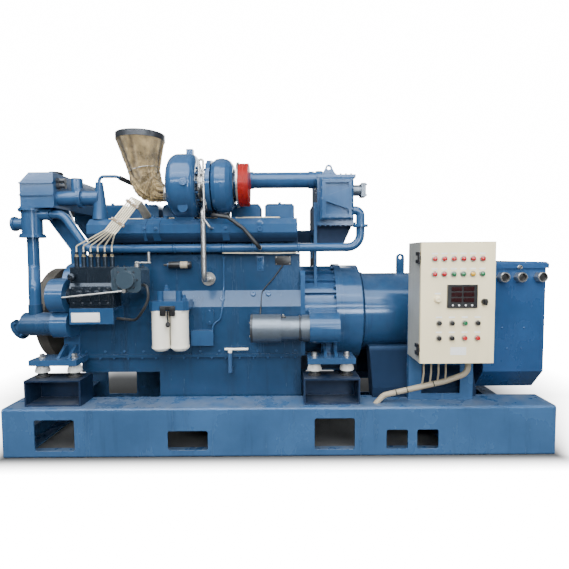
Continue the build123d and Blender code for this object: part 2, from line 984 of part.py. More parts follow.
def line_points(index):
    """Route of one fuel line from its delivery valve to its rocker cover."""
    start = (valve_x[index], pump_y, valve_top)
    lift = (start[0], pump_y, start[2] + line_rise)
    step = (index - (cylinder_count - 1) / 2) * line_pitch
    lean = ribbon_lean_share * step
    middle = (pump_start + pump_end) / 2 + step
    low = (middle + ribbon_low_shift, pump_y - ribbon_low_reach, shaft_z + ribbon_low_rise - lean)
    high = (middle + ribbon_high_shift, pump_y - ribbon_high_reach, shaft_z + ribbon_high_rise - lean)
    run_z = head_top + line_run_rise
    order = 0 if index < 2 else index - 1
    turn_y = -rocker_half_width - line_turn_first - order * line_turn_pitch
    if index == 0:
        turn_y = -rocker_half_width - line_turn_first - line_turn_pitch
    turn = (high[0], turn_y, run_z)
    arrive = (cylinder_x[index], turn_y, run_z)
    end = (cylinder_x[index], -rocker_half_width, run_z)
    if index == 1:
        turn = (high[0], -rocker_half_width, run_z)
        return [start, lift, low, high, (high[0], -head_half_width, run_z), turn]
    return [start, lift, low, high, (high[0], -head_half_width, run_z), turn, arrive, end]


def make_fuel_lines():
    """Six steel lines gathered into a flat ribbon."""
    return kit(pipe(line_points(i), line_radius, line_bend) for i in range(cylinder_count))


def make_throttle_link(gear_case):
    """Slanting rod from the gear case to a pivot on the governor."""
    face = pump_y - governor_half
    y = face - link_gap - link_radius
    dome_z = pump_bottom + governor_rise + governor_height / 2
    pivot_x = between((pump_end, pump_end + governor_length), link_pivot_share)
    start = Vector(gear_front, y, pump_bottom + coupling_rise - link_start_drop)
    end = Vector(pivot_x, y, dome_z - link_pivot_drop)
    rod = rod_along(start, end - start, (end - start).length, link_radius) - gear_case
    pivot = rod_y(pivot_x, (y - link_radius, face), end.Z, link_pivot_radius)
    return rod.solids().sort_by(Axis.X)[-1] + pivot


# Filters and small fittings
def make_filter_head():
    """Casting on the block that carries two filters."""
    z = shaft_z + filter_top_rise
    half = filter_spacing / 2 + filter_radius + filter_head_margin
    head = block((filter_centre - half, filter_centre + half),
                 (filter_y - filter_radius, -lower_half_width), (z, z + filter_head_height))
    head = chamfer(head.edges().filter_by(Axis.Z).group_by(Axis.Y)[0], filter_radius / 2)
    for step in pair_shares:
        head = head + rod_z(filter_centre + step * filter_spacing, filter_y,
                            (z + filter_head_height, z + filter_head_height + filter_nose_length),
                            filter_nose_radius)
    return head


def make_filters():
    """Two spin-on canisters."""
    z = shaft_z + filter_top_rise
    profile = [(0, z - filter_length), (filter_radius - filter_shoulder, z - filter_length),
               (filter_radius, z - filter_length + filter_shoulder), (filter_radius, z), (0, z)]
    return kit(turned_z(profile, filter_centre + step * filter_spacing, filter_y) for step in pair_shares)


def make_junction_box():
    """Small box on the block's side and the stop solenoid above it."""
    z = shaft_z - box_drop
    box = block((box_start, box_start + box_length), (-lower_half_width - box_depth, -lower_half_width),
                (z - box_height, z))
    ends = (solenoid_start, solenoid_start + solenoid_length)
    y = -upper_half_width - solenoid_gap - solenoid_radius
    level = shaft_z + solenoid_rise
    solenoid = rod_x(ends, y, level, solenoid_radius)
    foot_x = [between(ends, share) for share in solenoid_foot_shares]
    foot = block(foot_x, (y, -upper_half_width), (level - solenoid_radius / 2, level + solenoid_radius / 2))
    return kit([box, solenoid + foot])


def make_dipstick():
    """Dipstick tube beside the pan with a bar handle."""
    y = -pad_half_width - dipstick_radius
    bottom = block_bottom - pan_shallow_drop
    tube = rod_z(dipstick_x, y, (bottom, block_bottom + dipstick_boss), dipstick_radius)
    arm = block((dipstick_x - dipstick_radius, dipstick_x + dipstick_radius),
                (y, -pan_half_width), (bottom, bottom + dipstick_boss))
    bar = rod_x((dipstick_x - dipstick_boss, dipstick_x - dipstick_boss + dipstick_handle_length), y,
                block_bottom + dipstick_boss, dipstick_handle_radius)
    return tube + arm + bar


# Turbocharger
def make_turbine_housing(manifold):
    """Round turbine casing with soft shoulders, bosses, a lug and a foot on the manifold."""
    ends = (turbine_start, turbine_end)
    half = outline_of([(ends[0], 0), (ends[0], turbine_radius), (ends[1], turbine_radius), (ends[1], 0)])
    half = fillet(half.vertices().group_by(Axis.Y)[-1].sort_by(Axis.X)[0], radius=turbine_left_shoulder)
    half = fillet(half.vertices().sort_by(Axis.X)[-2:].sort_by(Axis.Y)[-1], radius=turbine_right_shoulder)
    casing = spun_x(half, turbo_y, scroll_z)
    middle = (ends[0] + ends[1]) / 2
    foot = block((middle - turbine_foot_length / 2, middle + turbine_foot_length / 2),
                 (turbo_y - turbine_foot_depth / 2, turbo_y + turbine_foot_depth / 2),
                 (manifold_bottom + manifold_front_shares[1] * manifold_height, scroll_z))
    lug_x = between(ends, turbine_lug_share)
    lug = block((lug_x - turbine_lug_length / 2, lug_x + turbine_lug_length / 2),
                (turbo_y - turbine_lug_length / 2, turbo_y + turbine_lug_length / 2),
                (scroll_z, scroll_z + turbine_radius + turbine_lug_height))
    boss = rod_y(between(ends, turbine_boss_share), (turbo_y - turbine_radius - turbine_boss_height, turbo_y),
                 scroll_z, turbine_boss_radius)
    plug = rod_y(between(ends, turbine_plug_share), (turbo_y - turbine_plug_reach, turbo_y),
                 scroll_z - turbine_plug_drop, turbine_plug_radius)
    return joined([casing, foot, lug, boss, plug]) - manifold


def make_turbo_centre():
    """Bearing housing between the two scrolls."""
    waist = (turbine_end + centre_flange, compressor_start - centre_flange)
    profile = [(turbine_end, 0), (turbine_end, centre_radius), (waist[0], centre_radius),
               (waist[0], centre_waist_radius), (waist[1], centre_waist_radius), (waist[1], centre_radius),
               (compressor_start, centre_radius), (compressor_start, 0)]
    return turned_x(profile, turbo_y, turbo_z)


def make_compressor_housing():
    """Round scroll with a back plate, an inlet neck and a discharge neck."""
    profile = [(compressor_start, 0), (compressor_start, compressor_plate_radius),
               (compressor_start + compressor_plate, compressor_plate_radius)]
    profile += [(compressor_start + along * compressor_length, radius * compressor_radius)
                for along, radius in compressor_face_shares]
    profile.append((compressor_start + compressor_face_shares[-1][0] * compressor_length, 0))
    scroll = turned_x(profile, turbo_y, scroll_z)
    neck_start = compressor_start + compressor_plate
    scroll = scroll + rod_x((neck_start, neck_end), turbo_y, turbo_z, neck_radius)
    band = (neck_end - neck_band, neck_end)
    scroll = scroll + rod_x(band, turbo_y, turbo_z, neck_radius + neck_band_height)
    discharge = compressor_start + discharge_share * compressor_length
    return scroll + rod_x((discharge, charge_start), charge_y, charge_z, charge_radius)


def make_air_filter():
    """Ribbed air-filter ring on the compressor inlet."""
    start = neck_end
    end = start + air_ring_length
    profile = [(start, 0), (start, air_ring_radius + air_ring_plate), (start + air_ring_plate,
               air_ring_radius + air_ring_plate), (start + air_ring_plate, air_ring_radius),
               (end, air_ring_radius), (end, 0)]
    return turned_x(profile, turbo_y, turbo_z)


# Exhaust
def make_exhaust_lagging():
    """Lagged elbow that turns up from the turbine and flares to the outlet."""
    rings = []
    rows = zip(lagging_reach_shares, lagging_height_shares, lagging_radius_shares, lagging_angles)
    for reach, height, radius, angle in rows:
        origin = (turbine_start - reach * lagging_reach, turbo_y, lagging_low + height * lagging_height)
        facing = Vector(-1, 0, 0).rotate(Axis.Y, angle)
        rings.append(Plane(origin=origin, x_dir=(0, 1, 0), z_dir=facing) * Circle(radius * lagging_radius))
    bore = rod_z(lagging_x, turbo_y, (lagging_top - exhaust_bore_depth, lagging_top), exhaust_bore)
    return loft(rings, ruled=True) - bore


def make_exhaust_rim():
    """Flange ring round the exhaust outlet."""
    z = (lagging_top, lagging_top + rim_height)
    return rod_z(lagging_x, turbo_y, z, rim_radius) - rod_z(lagging_x, turbo_y, z, exhaust_bore)


# Charge air
def make_charge_pipe():
    """Pipe from the compressor to the cooler, with a band at each end."""
    ends = (charge_start, cooler_start)
    tube = rod_x(ends, charge_y, charge_z, charge_radius)
    for share in charge_band_shares:
        x = between(ends, share)
        tube = tube + rod_x((x, x + charge_band), charge_y, charge_z, charge_radius + charge_band_height)
    return tube


def make_intercooler():
    """Charge-air cooler with a flanged core, an inlet horn and a pocketed water box in front."""
    core = block((cooler_start, cooler_end), (cooler_front, cooler_back), (cooler_bottom, cooler_top))
    lip = cooler_flange_edge
    for z in (cooler_bottom, cooler_top - cooler_flange):
        core = core + block((cooler_start, cooler_end + lip), (cooler_front - lip, cooler_back + lip),
                            (z, z + cooler_flange))
    box_x = (cooler_start + water_box_inset, cooler_end - water_box_inset)
    box_z = (cooler_bottom + cooler_flange + water_box_inset, cooler_top - cooler_flange - water_box_inset)
    front = cooler_front - water_box_depth
    water_box = block(box_x, (front, cooler_front), box_z)
    water_box = chamfer(water_box.edges().group_by(Axis.Y)[0], water_box_inset)
    rib = water_box_rib
    edge = 2 * rib
    middle = (box_z[0] + box_z[1]) / 2
    upper = outline_of([(box_x[0] + edge, middle + rib), (box_x[1] - edge, box_z[1] - 2 * edge),
                        (box_x[1] - edge, box_z[1] - edge), (box_x[0] + edge, box_z[1] - edge)])
    lower = outline_of([(box_x[0] + edge, middle - rib), (box_x[1] - edge, box_z[0] + 2 * edge),
                        (box_x[1] - edge, box_z[0] + edge), (box_x[0] + edge, box_z[0] + edge)])
    for pocket in (upper, lower):
        water_box = water_box - prism_y(pocket, (front, front + pocket_depth))
    lug_x = between((cooler_start, cooler_end), cooler_lug_share)
    lug_z = cooler_top + cooler_lug_rise
    lug = outline_of([(lug_x - cooler_lug_half, cooler_top), (lug_x + cooler_lug_half, cooler_top),
                      (lug_x + cooler_lug_radius, lug_z), (lug_x - cooler_lug_radius, lug_z)])
    lug = lug + Pos(lug_x, lug_z) * Circle(cooler_lug_radius) - Pos(lug_x, lug_z) * Circle(cooler_lug_hole)
    lug_y = cooler_front + cooler_lug_inset
    mouth = cooler_start + horn_length
    horn_radius = charge_radius + horn_margin
    horn = turned_x([(cooler_start, 0), (cooler_start, horn_radius), (mouth, horn_radius),
                     (mouth + horn_taper, horn_tip_radius), (mouth + horn_taper, 0)], charge_y, charge_z)
    return joined([core, water_box, prism_y(lug, (lug_y, lug_y + cooler_lug_thickness)), horn])


def make_charge_duct():
    """Hopper under the cooler with a branch to the intake manifold."""
    floor = cooler_bottom - duct_drop
    outline = outline_of([(cooler_start, cooler_bottom), (cooler_end, cooler_bottom),
                          (cooler_end - duct_taper, floor), (cooler_start, floor)])
    hopper = prism_y(outline, (duct_front, manifold_front_y))
    branch = block((block_rear, cooler_start), (manifold_back_y, manifold_front_y),
                   (floor + plate, cooler_bottom))
    return hopper + branch


def make_cooler_bracket(housing):
    """Upright plate from the flywheel housing to the cooler."""
    x = (cooler_start - bracket_thickness, cooler_start)
    z = (shaft_z, cooler_bottom + bracket_rise)
    upright = block(x, (-bracket_half_width, bracket_half_width), z) - housing
    top = upright.solids().sort_by(Axis.Z)[-1]
    wide = 2 * bracket_half_width * bracket_window_share
    tall = (cooler_bottom - shaft_z - flywheel_radius) * bracket_window_share
    middle = (shaft_z + flywheel_radius + rib_height + cooler_bottom) / 2
    return top - block(x, (-wide / 2, wide / 2), (middle - tall / 2, middle + tall / 2))


def make_sea_water_outlet():
    """Square-flanged outlet neck on the cooler."""
    z = cooler_bottom + outlet_rise
    end = cooler_end + outlet_length
    y = cooler_front + outlet_flange
    neck = rod_x((cooler_end, end), y, z, outlet_radius)
    square = block((end, end + outlet_flange_thickness),
                   (y - outlet_flange / 2, y + outlet_flange / 2),
                   (z - outlet_flange / 2, z + outlet_flange / 2))
    return neck + square - rod_x((cooler_end, end + outlet_flange_thickness), y, z, outlet_bore)


# Fresh water
def make_water_pipe():
    """Pipe along the block from the cooler to the thermostat housing."""
    elbow_z = cooler_bottom + water_elbow_rise - water_flange_rise
    points = [(cooler_end - water_box_inset, water_y, elbow_z), (water_rise_x, water_y, elbow_z),
              (water_rise_x, water_y, water_level), (water_slope_start, water_y, water_level),
              (water_slope_end, water_y, water_high),
              (thermostat_x + branch_reach, water_y, water_high)]
    bends = (water_elbow_reach, water_bend, water_bend, water_bend)
    tube = pipe(points, water_radius, bends)
    flange_z = cooler_bottom - water_flange_thickness
    flange = (flange_z, flange_z + water_flange_thickness)
    return tube + rod_z(water_rise_x, water_y, flange, water_flange_radius)


def make_thermostat_housing():
    """Upright housing with flanges, a free stub and a branch to the pipe."""
    z = (thermostat_bottom, tank_bottom)
    profile = [(0, z[0]), (thermostat_flange_radius, z[0]),
               (thermostat_flange_radius, z[0] + thermostat_flange),
               (thermostat_radius, z[0] + thermostat_flange),
               (thermostat_radius, z[1] - thermostat_flange),
               (thermostat_flange_radius, z[1] - thermostat_flange),
               (thermostat_flange_radius, z[1]), (0, z[1])]
    body = turned_z(profile, thermostat_x, water_y)
    level = between(z, stub_level_share)
    tip = thermostat_x - stub_reach
    body = body + rod_x((tip, thermostat_x), water_y, level, stub_radius)
    body = body + rod_x((tip, tip + stub_rim), water_y, level, stub_rim_radius)
    body = body + rod_x((thermostat_x, thermostat_x + branch_reach), water_y, water_high, branch_radius)
    return body - rod_x((tip, thermostat_x - thermostat_radius), water_y, level, stub_bore)


def make_down_pipe():
    """Pipe from the thermostat housing that bends out to the pump."""
    bottom = sea_pump_z + sea_pump_radius + sea_neck_length
    points = [(thermostat_x, water_y, thermostat_bottom),
              (thermostat_x, water_y, bottom + 2 * down_pipe_turn),
              (sea_neck_x, sea_pump_y, bottom + down_pipe_turn), (sea_neck_x, sea_pump_y, bottom)]
    return pipe(points, down_pipe_radius, down_pipe_bend)


def make_expansion_tank():
    """Header tank across the free end, with ribs on its end face."""
    outline = outline_of([(tank_start, tank_bottom), (tank_end, tank_bottom), (tank_end, tank_top),
                          (tank_start + tank_slope, tank_top), (tank_start, tank_top - tank_slope)])
    tank = prism_y(outline, (-tank_half_width, tank_half_width))
    for z in stepped((tank_bottom, tank_top - tank_slope - tank_rib), tank_rib_count):
        tank = tank + block((tank_start, tank_end), (-tank_half_width - tank_rib, -tank_half_width),
                            (z, z + tank_rib))
    return tank


def make_tank_bracket():
    """Two plates from the gear case up to the tank."""
    foot_z = shaft_z + gear_case_top_rise
    outline = outline_of([(gear_front, foot_z), (block_front, foot_z),
                          (block_front, foot_z + tank_bracket_web),
                          (tank_end, tank_bottom), (tank_start + tank_slope, tank_bottom),
                          (tank_start + tank_slope, tank_bottom - tank_bracket_web / 2),
                          (gear_front, foot_z + tank_bracket_web)])
    return kit(prism_y(outline, (side * tank_bracket_y - tank_bracket_thickness / 2,
                                 side * tank_bracket_y + tank_bracket_thickness / 2)) for side in (-1, 1))


def make_crossover():
    """Pipe from the tank to a tapered riser on the manifold, with a small pot."""
    ends = (tank_end, riser_x)
    tube = rod_x(ends, turbo_y, crossover_z, crossover_radius)
    middle = (ends[0] + ends[1]) / 2
    tube = tube + rod_x((middle, middle + crossover_flange), turbo_y, crossover_z, crossover_flange_radius)
    pot_x = between(ends, crossover_pot_share)
    pot = rod_z(pot_x, turbo_y, (crossover_z, crossover_z + crossover_radius + crossover_pot_height),
                crossover_pot_radius)
    profile = [(0, manifold_top), (riser_low_radius, manifold_top),
               (riser_top_radius, riser_top), (0, riser_top)]
    return tube + pot + turned_z(profile, riser_x, turbo_y)


def make_vent_pipe():
    """Thin pipe from the riser to the turbine casing."""
    level = shaft_z + vent_rise
    end_level = shaft_z + vent_end_rise
    points = [(riser_x, turbo_y, riser_top), (riser_x, turbo_y, level), (vent_turn_x, turbo_y, level),
              (vent_drop_x, vent_back_y, end_level), (turbine_start, vent_back_y, end_level)]
    return pipe(points, vent_radius, vent_bend)


# Turbo oil pipes and hose
def make_oil_drain(centre):
    """Drain from the bearing housing to a flange on the block."""
    level = shaft_z + drain_rise
    end_level = shaft_z + drain_end_rise
    points = [(drain_x, turbo_y, turbo_z), (drain_x, turbo_y, level), (drain_x, drain_y, level),
              (drain_x, drain_y, end_level), (drain_x, -upper_half_width, end_level)]
    tube = largest(pipe(points, drain_radius, drain_bend) - centre)
    return tube + rod_y(drain_x, (-upper_half_width - drain_flange_thickness, -upper_half_width),
                        end_level, drain_flange_radius)


def make_oil_feed(centre):
    """Thin pipe that loops up in front of the bearing housing and runs down to the manifold."""
    left = drain_x - feed_spacing / 2
    right = drain_x + feed_spacing / 2
    end = right + feed_jog
    start_z = shaft_z + feed_rise
    top_z = shaft_z + feed_top_rise
    end_z = shaft_z + feed_end_rise
    points = [(left, turbo_y, start_z), (left, feed_y, start_z), (left, feed_y, top_z),
              (right, feed_y, top_z), (right, feed_y, shaft_z + feed_jog_rise),
              (end, feed_y, end_z), (end, -manifold_front_y, end_z)]
    return largest(pipe(points, feed_radius, feed_bend) - centre)


def make_coolant_hose(compressor, water):
    """Hose from the compressor's underside to the water pipe."""
    xs = [compressor_start + shift for shift in hose_shifts]
    zs = [shaft_z + rise for rise in hose_rises]
    points = [(xs[0], turbo_y, turbo_z), (xs[0], turbo_y, zs[0]), (xs[0], hose_y, zs[0])]
    points += [(x, hose_y, z) for x, z in zip(xs[1:], zs[1:])]
    points.append((xs[-1], water_y, zs[-1]))
    return largest(pipe(points, hose_radius, hose_bend) - compressor - water)


# Generator
def make_adapter_ring():
    """Drum that joins the generator to the flywheel housing."""
    waist = flywheel_flange_radius - adapter_waist_drop
    profile = [(flywheel_rear, 0), (flywheel_rear, flywheel_flange_radius),
               (flywheel_rear + adapter_lip, flywheel_flange_radius), (flywheel_rear + adapter_lip, waist),
               (adapter_end - adapter_lip, waist), (adapter_end, stator_radius), (adapter_end, 0)]
    return turned_x(profile, 0, shaft_z)


def make_stator_frame():
    """Round generator frame with end seams and a lifting lug."""
    frame = rod_x((adapter_end, stator_end), 0, shaft_z, stator_radius)
    for x in (adapter_end, stator_end - stator_seam):
        frame = frame + rod_x((x, x + stator_seam), 0, shaft_z, stator_radius + stator_seam_height)
    lug_x = between((adapter_end, stator_end), lug_share)
    top = shaft_z + stator_radius + lug_rise
    lug_y = (-lug_thickness / 2, lug_thickness / 2)
    lug = block((lug_x - lug_radius, lug_x + lug_radius), lug_y, (shaft_z, top))
    lug = lug + rod_y(lug_x, lug_y, top, lug_radius) - rod_y(lug_x, lug_y, top, lug_hole)
    return joined([frame, lug] + make_generator_feet())


def make_generator_feet():
    """Sloped feet between the beams and the generator frame."""
    x = [between((adapter_end, stator_end), share) for share in (gen_foot_start_share, gen_foot_end_share)]
    outline = outline_of([
        (-gen_foot_outer, base_height), (-gen_foot_outer, base_height + gen_foot_shoulder_rise),
        (-gen_foot_inner, base_height + gen_foot_height),
        (-gen_foot_top_inner, base_height + gen_foot_height),
        (-gen_foot_inner, base_height)])
    foot = prism_x(outline, x)
    return [foot, far_side(foot)]


def make_terminal_box():
    """Terminal housing on the end of the generator."""
    depth = terminal_half_width
    drop = terminal_bottom - terminal_chamfer_drop
    outline = outline_of([(-depth, terminal_bottom), (-depth, terminal_top), (depth, terminal_top),
                          (depth, terminal_bottom), (depth - terminal_chamfer_depth, drop),
                          (-depth + terminal_chamfer_depth, drop)])
    return prism_x(outline, (stator_end, terminal_end))


def make_terminal_lid():
    """Lid with an overhang on the terminal housing."""
    reach = terminal_half_width + lid_overhang
    lid = block((stator_end, terminal_end + lid_overhang), (-reach, reach),
                (terminal_top, terminal_top + lid_height))
    return chamfer(lid.edges().group_by(Axis.Z)[-1], lid_overhang)


def make_terminal_glands():
    """Cable glands on the front of the terminal housing."""
    glands = []
    for share in gland_shares:
        x = between((stator_end, terminal_end), share)
        y = (-terminal_half_width - gland_length, -terminal_half_width)
        z = terminal_top - gland_drop
        body = extrude(Plane(origin=(x, y[1], z), x_dir=(1, 0, 0), z_dir=(0, -1, 0))
                       * RegularPolygon(gland_radius, 6), amount=gland_length)
        glands.append(body - rod_y(x, y, z, gland_bore))
    return kit(glands)


# Control cabinet
def make_cabinet_stand():
    """Folded stand that carries the cabinet on the beam."""
    x = (cabinet_start + stand_inset, cabinet_end - stand_inset)
    y = (cabinet_back, cabinet_back + stand_depth)
    z = (base_height, cabinet_bottom + stand_top_rise)
    stand = block(x, y, z) - block((x[0] + stand_plate, x[1] - stand_plate), (y[0] + stand_plate, y[1]),
                                   (z[0] + stand_plate, z[1] - stand_plate))
    middle = (x[0] + x[1]) / 2
    sill = base_height + stand_window_sill
    return stand - block((middle - stand_window_width / 2, middle + stand_window_width / 2), y,
                         (sill, sill + stand_window_height))


def make_cabinet_shell():
    """Open-fronted sheet enclosure."""
    outer = block((cabinet_start, cabinet_end), (shell_front, cabinet_back), (cabinet_bottom, cabinet_top))
    inner = block((cabinet_start + sheet, cabinet_end - sheet), (shell_front, cabinet_back - sheet),
                  (cabinet_bottom + sheet, cabinet_top - sheet))
    return outer - inner


def make_cabinet_door():
    """Tray-shaped door."""
    outer = block((cabinet_start, cabinet_end), (door_front, door_back), (cabinet_bottom, cabinet_top))
    inner = block((cabinet_start + sheet, cabinet_end - sheet), (door_front + sheet, door_back),
                  (cabinet_bottom + sheet, cabinet_top - sheet))
    return outer - inner


def hinge_levels():
    """Middle height of each hinge."""
    return [cabinet_bottom + share * cabinet_height for share in hinge_level_shares]


def make_hinge_leaves():
    """Fixed hinge leaves with knuckles and a pin."""
    leaves = []
    for z in hinge_levels():
        low = z - hinge_height / 2
        high = z + hinge_height / 2
        reach = hinge_barrel_height / 2 + hinge_knuckle_gap
        leaf_y = (cabinet_axis_y + hinge_leaf_start, cabinet_axis_y + hinge_leaf_start + hinge_leaf_depth)
        leaf = block((cabinet_start - hinge_leaf, cabinet_start), leaf_y, (low, high))
        for ends in ((low, z - reach), (z + reach, high)):
            knuckle = rod_z(cabinet_axis_x, cabinet_axis_y, ends, hinge_radius)
            arm = block((cabinet_axis_x - hinge_radius, cabinet_start - hinge_leaf),
                        (cabinet_axis_y, leaf_y[1]), ends)
            leaf = leaf + knuckle + arm
        leaves.append(leaf + rod_z(cabinet_axis_x, cabinet_axis_y, (low, high), hinge_pin_radius))
    return kit(leaves)


def make_door_hinges():
    """Hinge barrels on the door."""
    barrels = []
    for z in hinge_levels():
        ends = (z - hinge_barrel_height / 2, z + hinge_barrel_height / 2)
        barrel = rod_z(cabinet_axis_x, cabinet_axis_y, ends, hinge_radius)
        arm = block((cabinet_axis_x, cabinet_start),
                    (cabinet_axis_y - hinge_arm / 2, cabinet_axis_y + hinge_arm / 2), ends)
        bore = rod_z(cabinet_axis_x, cabinet_axis_y, ends, hinge_pin_radius + running_clearance)
        barrels.append(barrel + arm - bore)
    return kit(barrels)


def on_door(shares):
    """The x and z of a place on the door, as shares of its size."""
    x = between((cabinet_start, cabinet_end), shares[0])
    return (x, between((cabinet_bottom, cabinet_top), shares[1]))


def button(x, z, base, cap):
    """A round bezel with a smaller cap, each a radius and a length."""
    low = rod_y(x, (door_front - base[1], door_front), z, base[0])
    return low + rod_y(x, (door_front - base[1] - cap[1], door_front - base[1]), z, cap[0])


def make_door_lamps():
    """Two rows of pilot lamps."""
    lamps = []
    for level in lamp_level_shares:
        for share in stepped(lamp_shares, lamp_count):
            x, z = on_door((share, level))
            lamps.append(button(x, z, (lamp_bezel_radius, lamp_bezel_length), (lamp_radius, lamp_length)))
    return kit(lamps)


def make_door_switches():
    """Two rows of push buttons, a buzzer and the lock knob."""
    pieces = []
    for level in switch_level_shares:
        for share in stepped(switch_shares, switch_count):
            x, z = on_door((share, level))
            cap = (switch_cap_radius, switch_cap_length)
            pieces.append(button(x, z, (switch_radius, switch_length), cap))
    x, z = on_door(buzzer_centre_shares)
    pieces.append(button(x, z, (buzzer_radius, lamp_bezel_length), (switch_radius, lamp_length)))
    x, z = on_door(knob_centre_shares)
    knob = button(x, z, (knob_radius, knob_length), (switch_cap_radius, switch_cap_length))
    grip = block((x - knob_grip_width / 2, x + knob_grip_width / 2),
                 (door_front - knob_length - knob_grip_depth, door_front - knob_length),
                 (z - knob_grip_length / 2, z + knob_grip_length / 2))
    pieces.append(knob + grip)
    return kit(pieces)


def make_meter_panel():
    """Display panel with a raised bezel."""
    x, z = on_door(meter_centre_shares)
    panel = block((x - meter_width / 2, x + meter_width / 2), (door_front - meter_depth, door_front),
                  (z - meter_height / 2, z + meter_height / 2))
    recess = block((x - meter_width / 2 + meter_bezel, x + meter_width / 2 - meter_bezel),
                   (door_front - meter_depth, door_front - meter_depth + meter_recess),
                   (z - meter_height / 2 + meter_bezel, z + meter_height / 2 - meter_bezel))
    return panel - recess


def gland_places():
    """The x of each gland under the cabinet, and their common y."""
    xs = [between((cabinet_start, cabinet_end), share)
          for share in stepped(bottom_gland_shares, bottom_gland_count)]
    return xs, between((shell_front, cabinet_back), bottom_gland_depth_share)


def make_cabinet_glands():
    """Cable glands under the cabinet."""
    xs, y = gland_places()
    z = (cabinet_bottom - bottom_gland_length, cabinet_bottom)
    return [rod_z(x, y, z, bottom_gland_radius) for x in xs]


def bundle_line():
    """The places that the tied bundle passes on its way to the beam."""
    rows = zip(bundle_shifts, bundle_reaches, bundle_rises)
    return [(cabinet_start + shift, cabinet_back - reach, base_height + rise) for shift, reach, rise in rows]


def make_cable_bundle(beam):
    """Tied bundle from the last gland down to the beam."""
    xs, y = gland_places()
    top = cabinet_bottom - bottom_gland_length
    points = [(xs[-1], y, top), (xs[-1], y, top - bundle_drop)]
    points += bundle_line()
    points.append((cabinet_start + bundle_end_shift, points[-1][1], base_height - bundle_radius))
    return largest(pipe(points, bundle_radius, bundle_bend) - beam)


def make_cables(bundle):
    """Thin cables from the other glands into the bundle."""
    xs, y = gland_places()
    top = cabinet_bottom - bottom_gland_length
    right, left = bundle_line()[1:3]
    cables = []
    for x in xs[:loose_cable_count]:
        share = (x - left[0]) / (right[0] - left[0])
        end = (x, between((left[1], right[1]), share), between((left[2], right[2]), share))
        points = [(x, y, top), (x, y, top - cable_drop), end]
        cable = pipe(points, cable_radius, cable_bend) - bundle
        cables.append(cable.solids().sort_by(Axis.Z)[-1])
    return cables


def main():
    """Build every piece and write one STEP file for each."""
    front_beam = make_front_beam()
    beams = [front_beam, far_side(front_beam)]
    exhaust_manifold = make_exhaust_manifold()
    gear_case = make_gear_case()
    flywheel_housing = make_flywheel_housing()
    turbo_centre = make_turbo_centre()
    compressor_housing = make_compressor_housing()
    water_pipe = make_water_pipe()
    bundle = make_cable_bundle(front_beam)
    pieces = {
        "base_beams": kit(beams),
        "cross_members": make_cross_members(beams),
        "mount_boxes": make_mount_boxes(),
        "isolators": make_isolators(),
        "engine_feet": make_engine_feet(),
        "crankcase": make_crankcase(),
        "side_covers": make_side_covers(),
        "oil_pan": make_oil_pan(),
        "cylinder_heads": make_cylinder_heads(),
        "rocker_covers": make_rocker_covers(),
        "exhaust_manifold": exhaust_manifold,
        "intake_manifold": make_intake_manifold(),
        "gear_case": gear_case,
        "damper": make_damper(),
        "sea_water_pump": make_sea_water_pump(),
        "flywheel_housing": flywheel_housing,
        "starter_motor": make_starter_motor(),
        "pump_bracket": make_pump_bracket(),
        "injection_pump": make_injection_pump(),
        "governor": make_governor(),
        "throttle_link": make_throttle_link(gear_case),
        "fuel_lines": make_fuel_lines(),
        "filter_head": make_filter_head(),
        "filters": make_filters(),
        "junction_box": make_junction_box(),
        "dipstick": make_dipstick(),
        "turbine_housing": make_turbine_housing(exhaust_manifold),
        "turbo_centre": turbo_centre,
        "compressor_housing": compressor_housing,
        "air_filter": make_air_filter(),
        "exhaust_lagging": make_exhaust_lagging(),
        "exhaust_rim": make_exhaust_rim(),
        "charge_pipe": make_charge_pipe(),
        "intercooler": make_intercooler(),
        "charge_duct": make_charge_duct(),
        "cooler_bracket": make_cooler_bracket(flywheel_housing),
        "sea_water_outlet": make_sea_water_outlet(),
        "water_pipe": water_pipe,
        "thermostat_housing": make_thermostat_housing(),
        "down_pipe": make_down_pipe(),
        "expansion_tank": make_expansion_tank(),
        "tank_bracket": make_tank_bracket(),
        "crossover": make_crossover(),
        "vent_pipe": make_vent_pipe(),
        "oil_pipes": kit([make_oil_drain(turbo_centre), make_oil_feed(turbo_centre)]),
        "coolant_hose": make_coolant_hose(compressor_housing, water_pipe),
        "adapter_ring": make_adapter_ring(),
        "stator_frame": make_stator_frame(),
        "terminal_box": make_terminal_box(),
        "terminal_lid": make_terminal_lid(),
        "terminal_glands": make_terminal_glands(),
        "cabinet_stand": make_cabinet_stand(),
        "cabinet_shell": make_cabinet_shell(),
        "cabinet_door": make_cabinet_door(),
        "hinge_leaves": make_hinge_leaves(),
        "door_hinges": make_door_hinges(),
        "door_lamps": make_door_lamps(),
        "door_switches": make_door_switches(),
        "meter_panel": make_meter_panel(),
        "cable_harness": kit(make_cabinet_glands() + [bundle] + make_cables(bundle)),
    }
    os.makedirs("parts", exist_ok=True)
    for name, shape in pieces.items():
        export_step(shape, f"parts/{name}.step")


main()
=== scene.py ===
"""Dresses the generator set with finishes, fasteners, trim, door controls, lagging cloth and a studio."""

import math

import bmesh
import bpy
from bpy.props import FloatProperty, FloatVectorProperty, IntProperty, PointerProperty
from mathutils import Matrix, Vector, noise


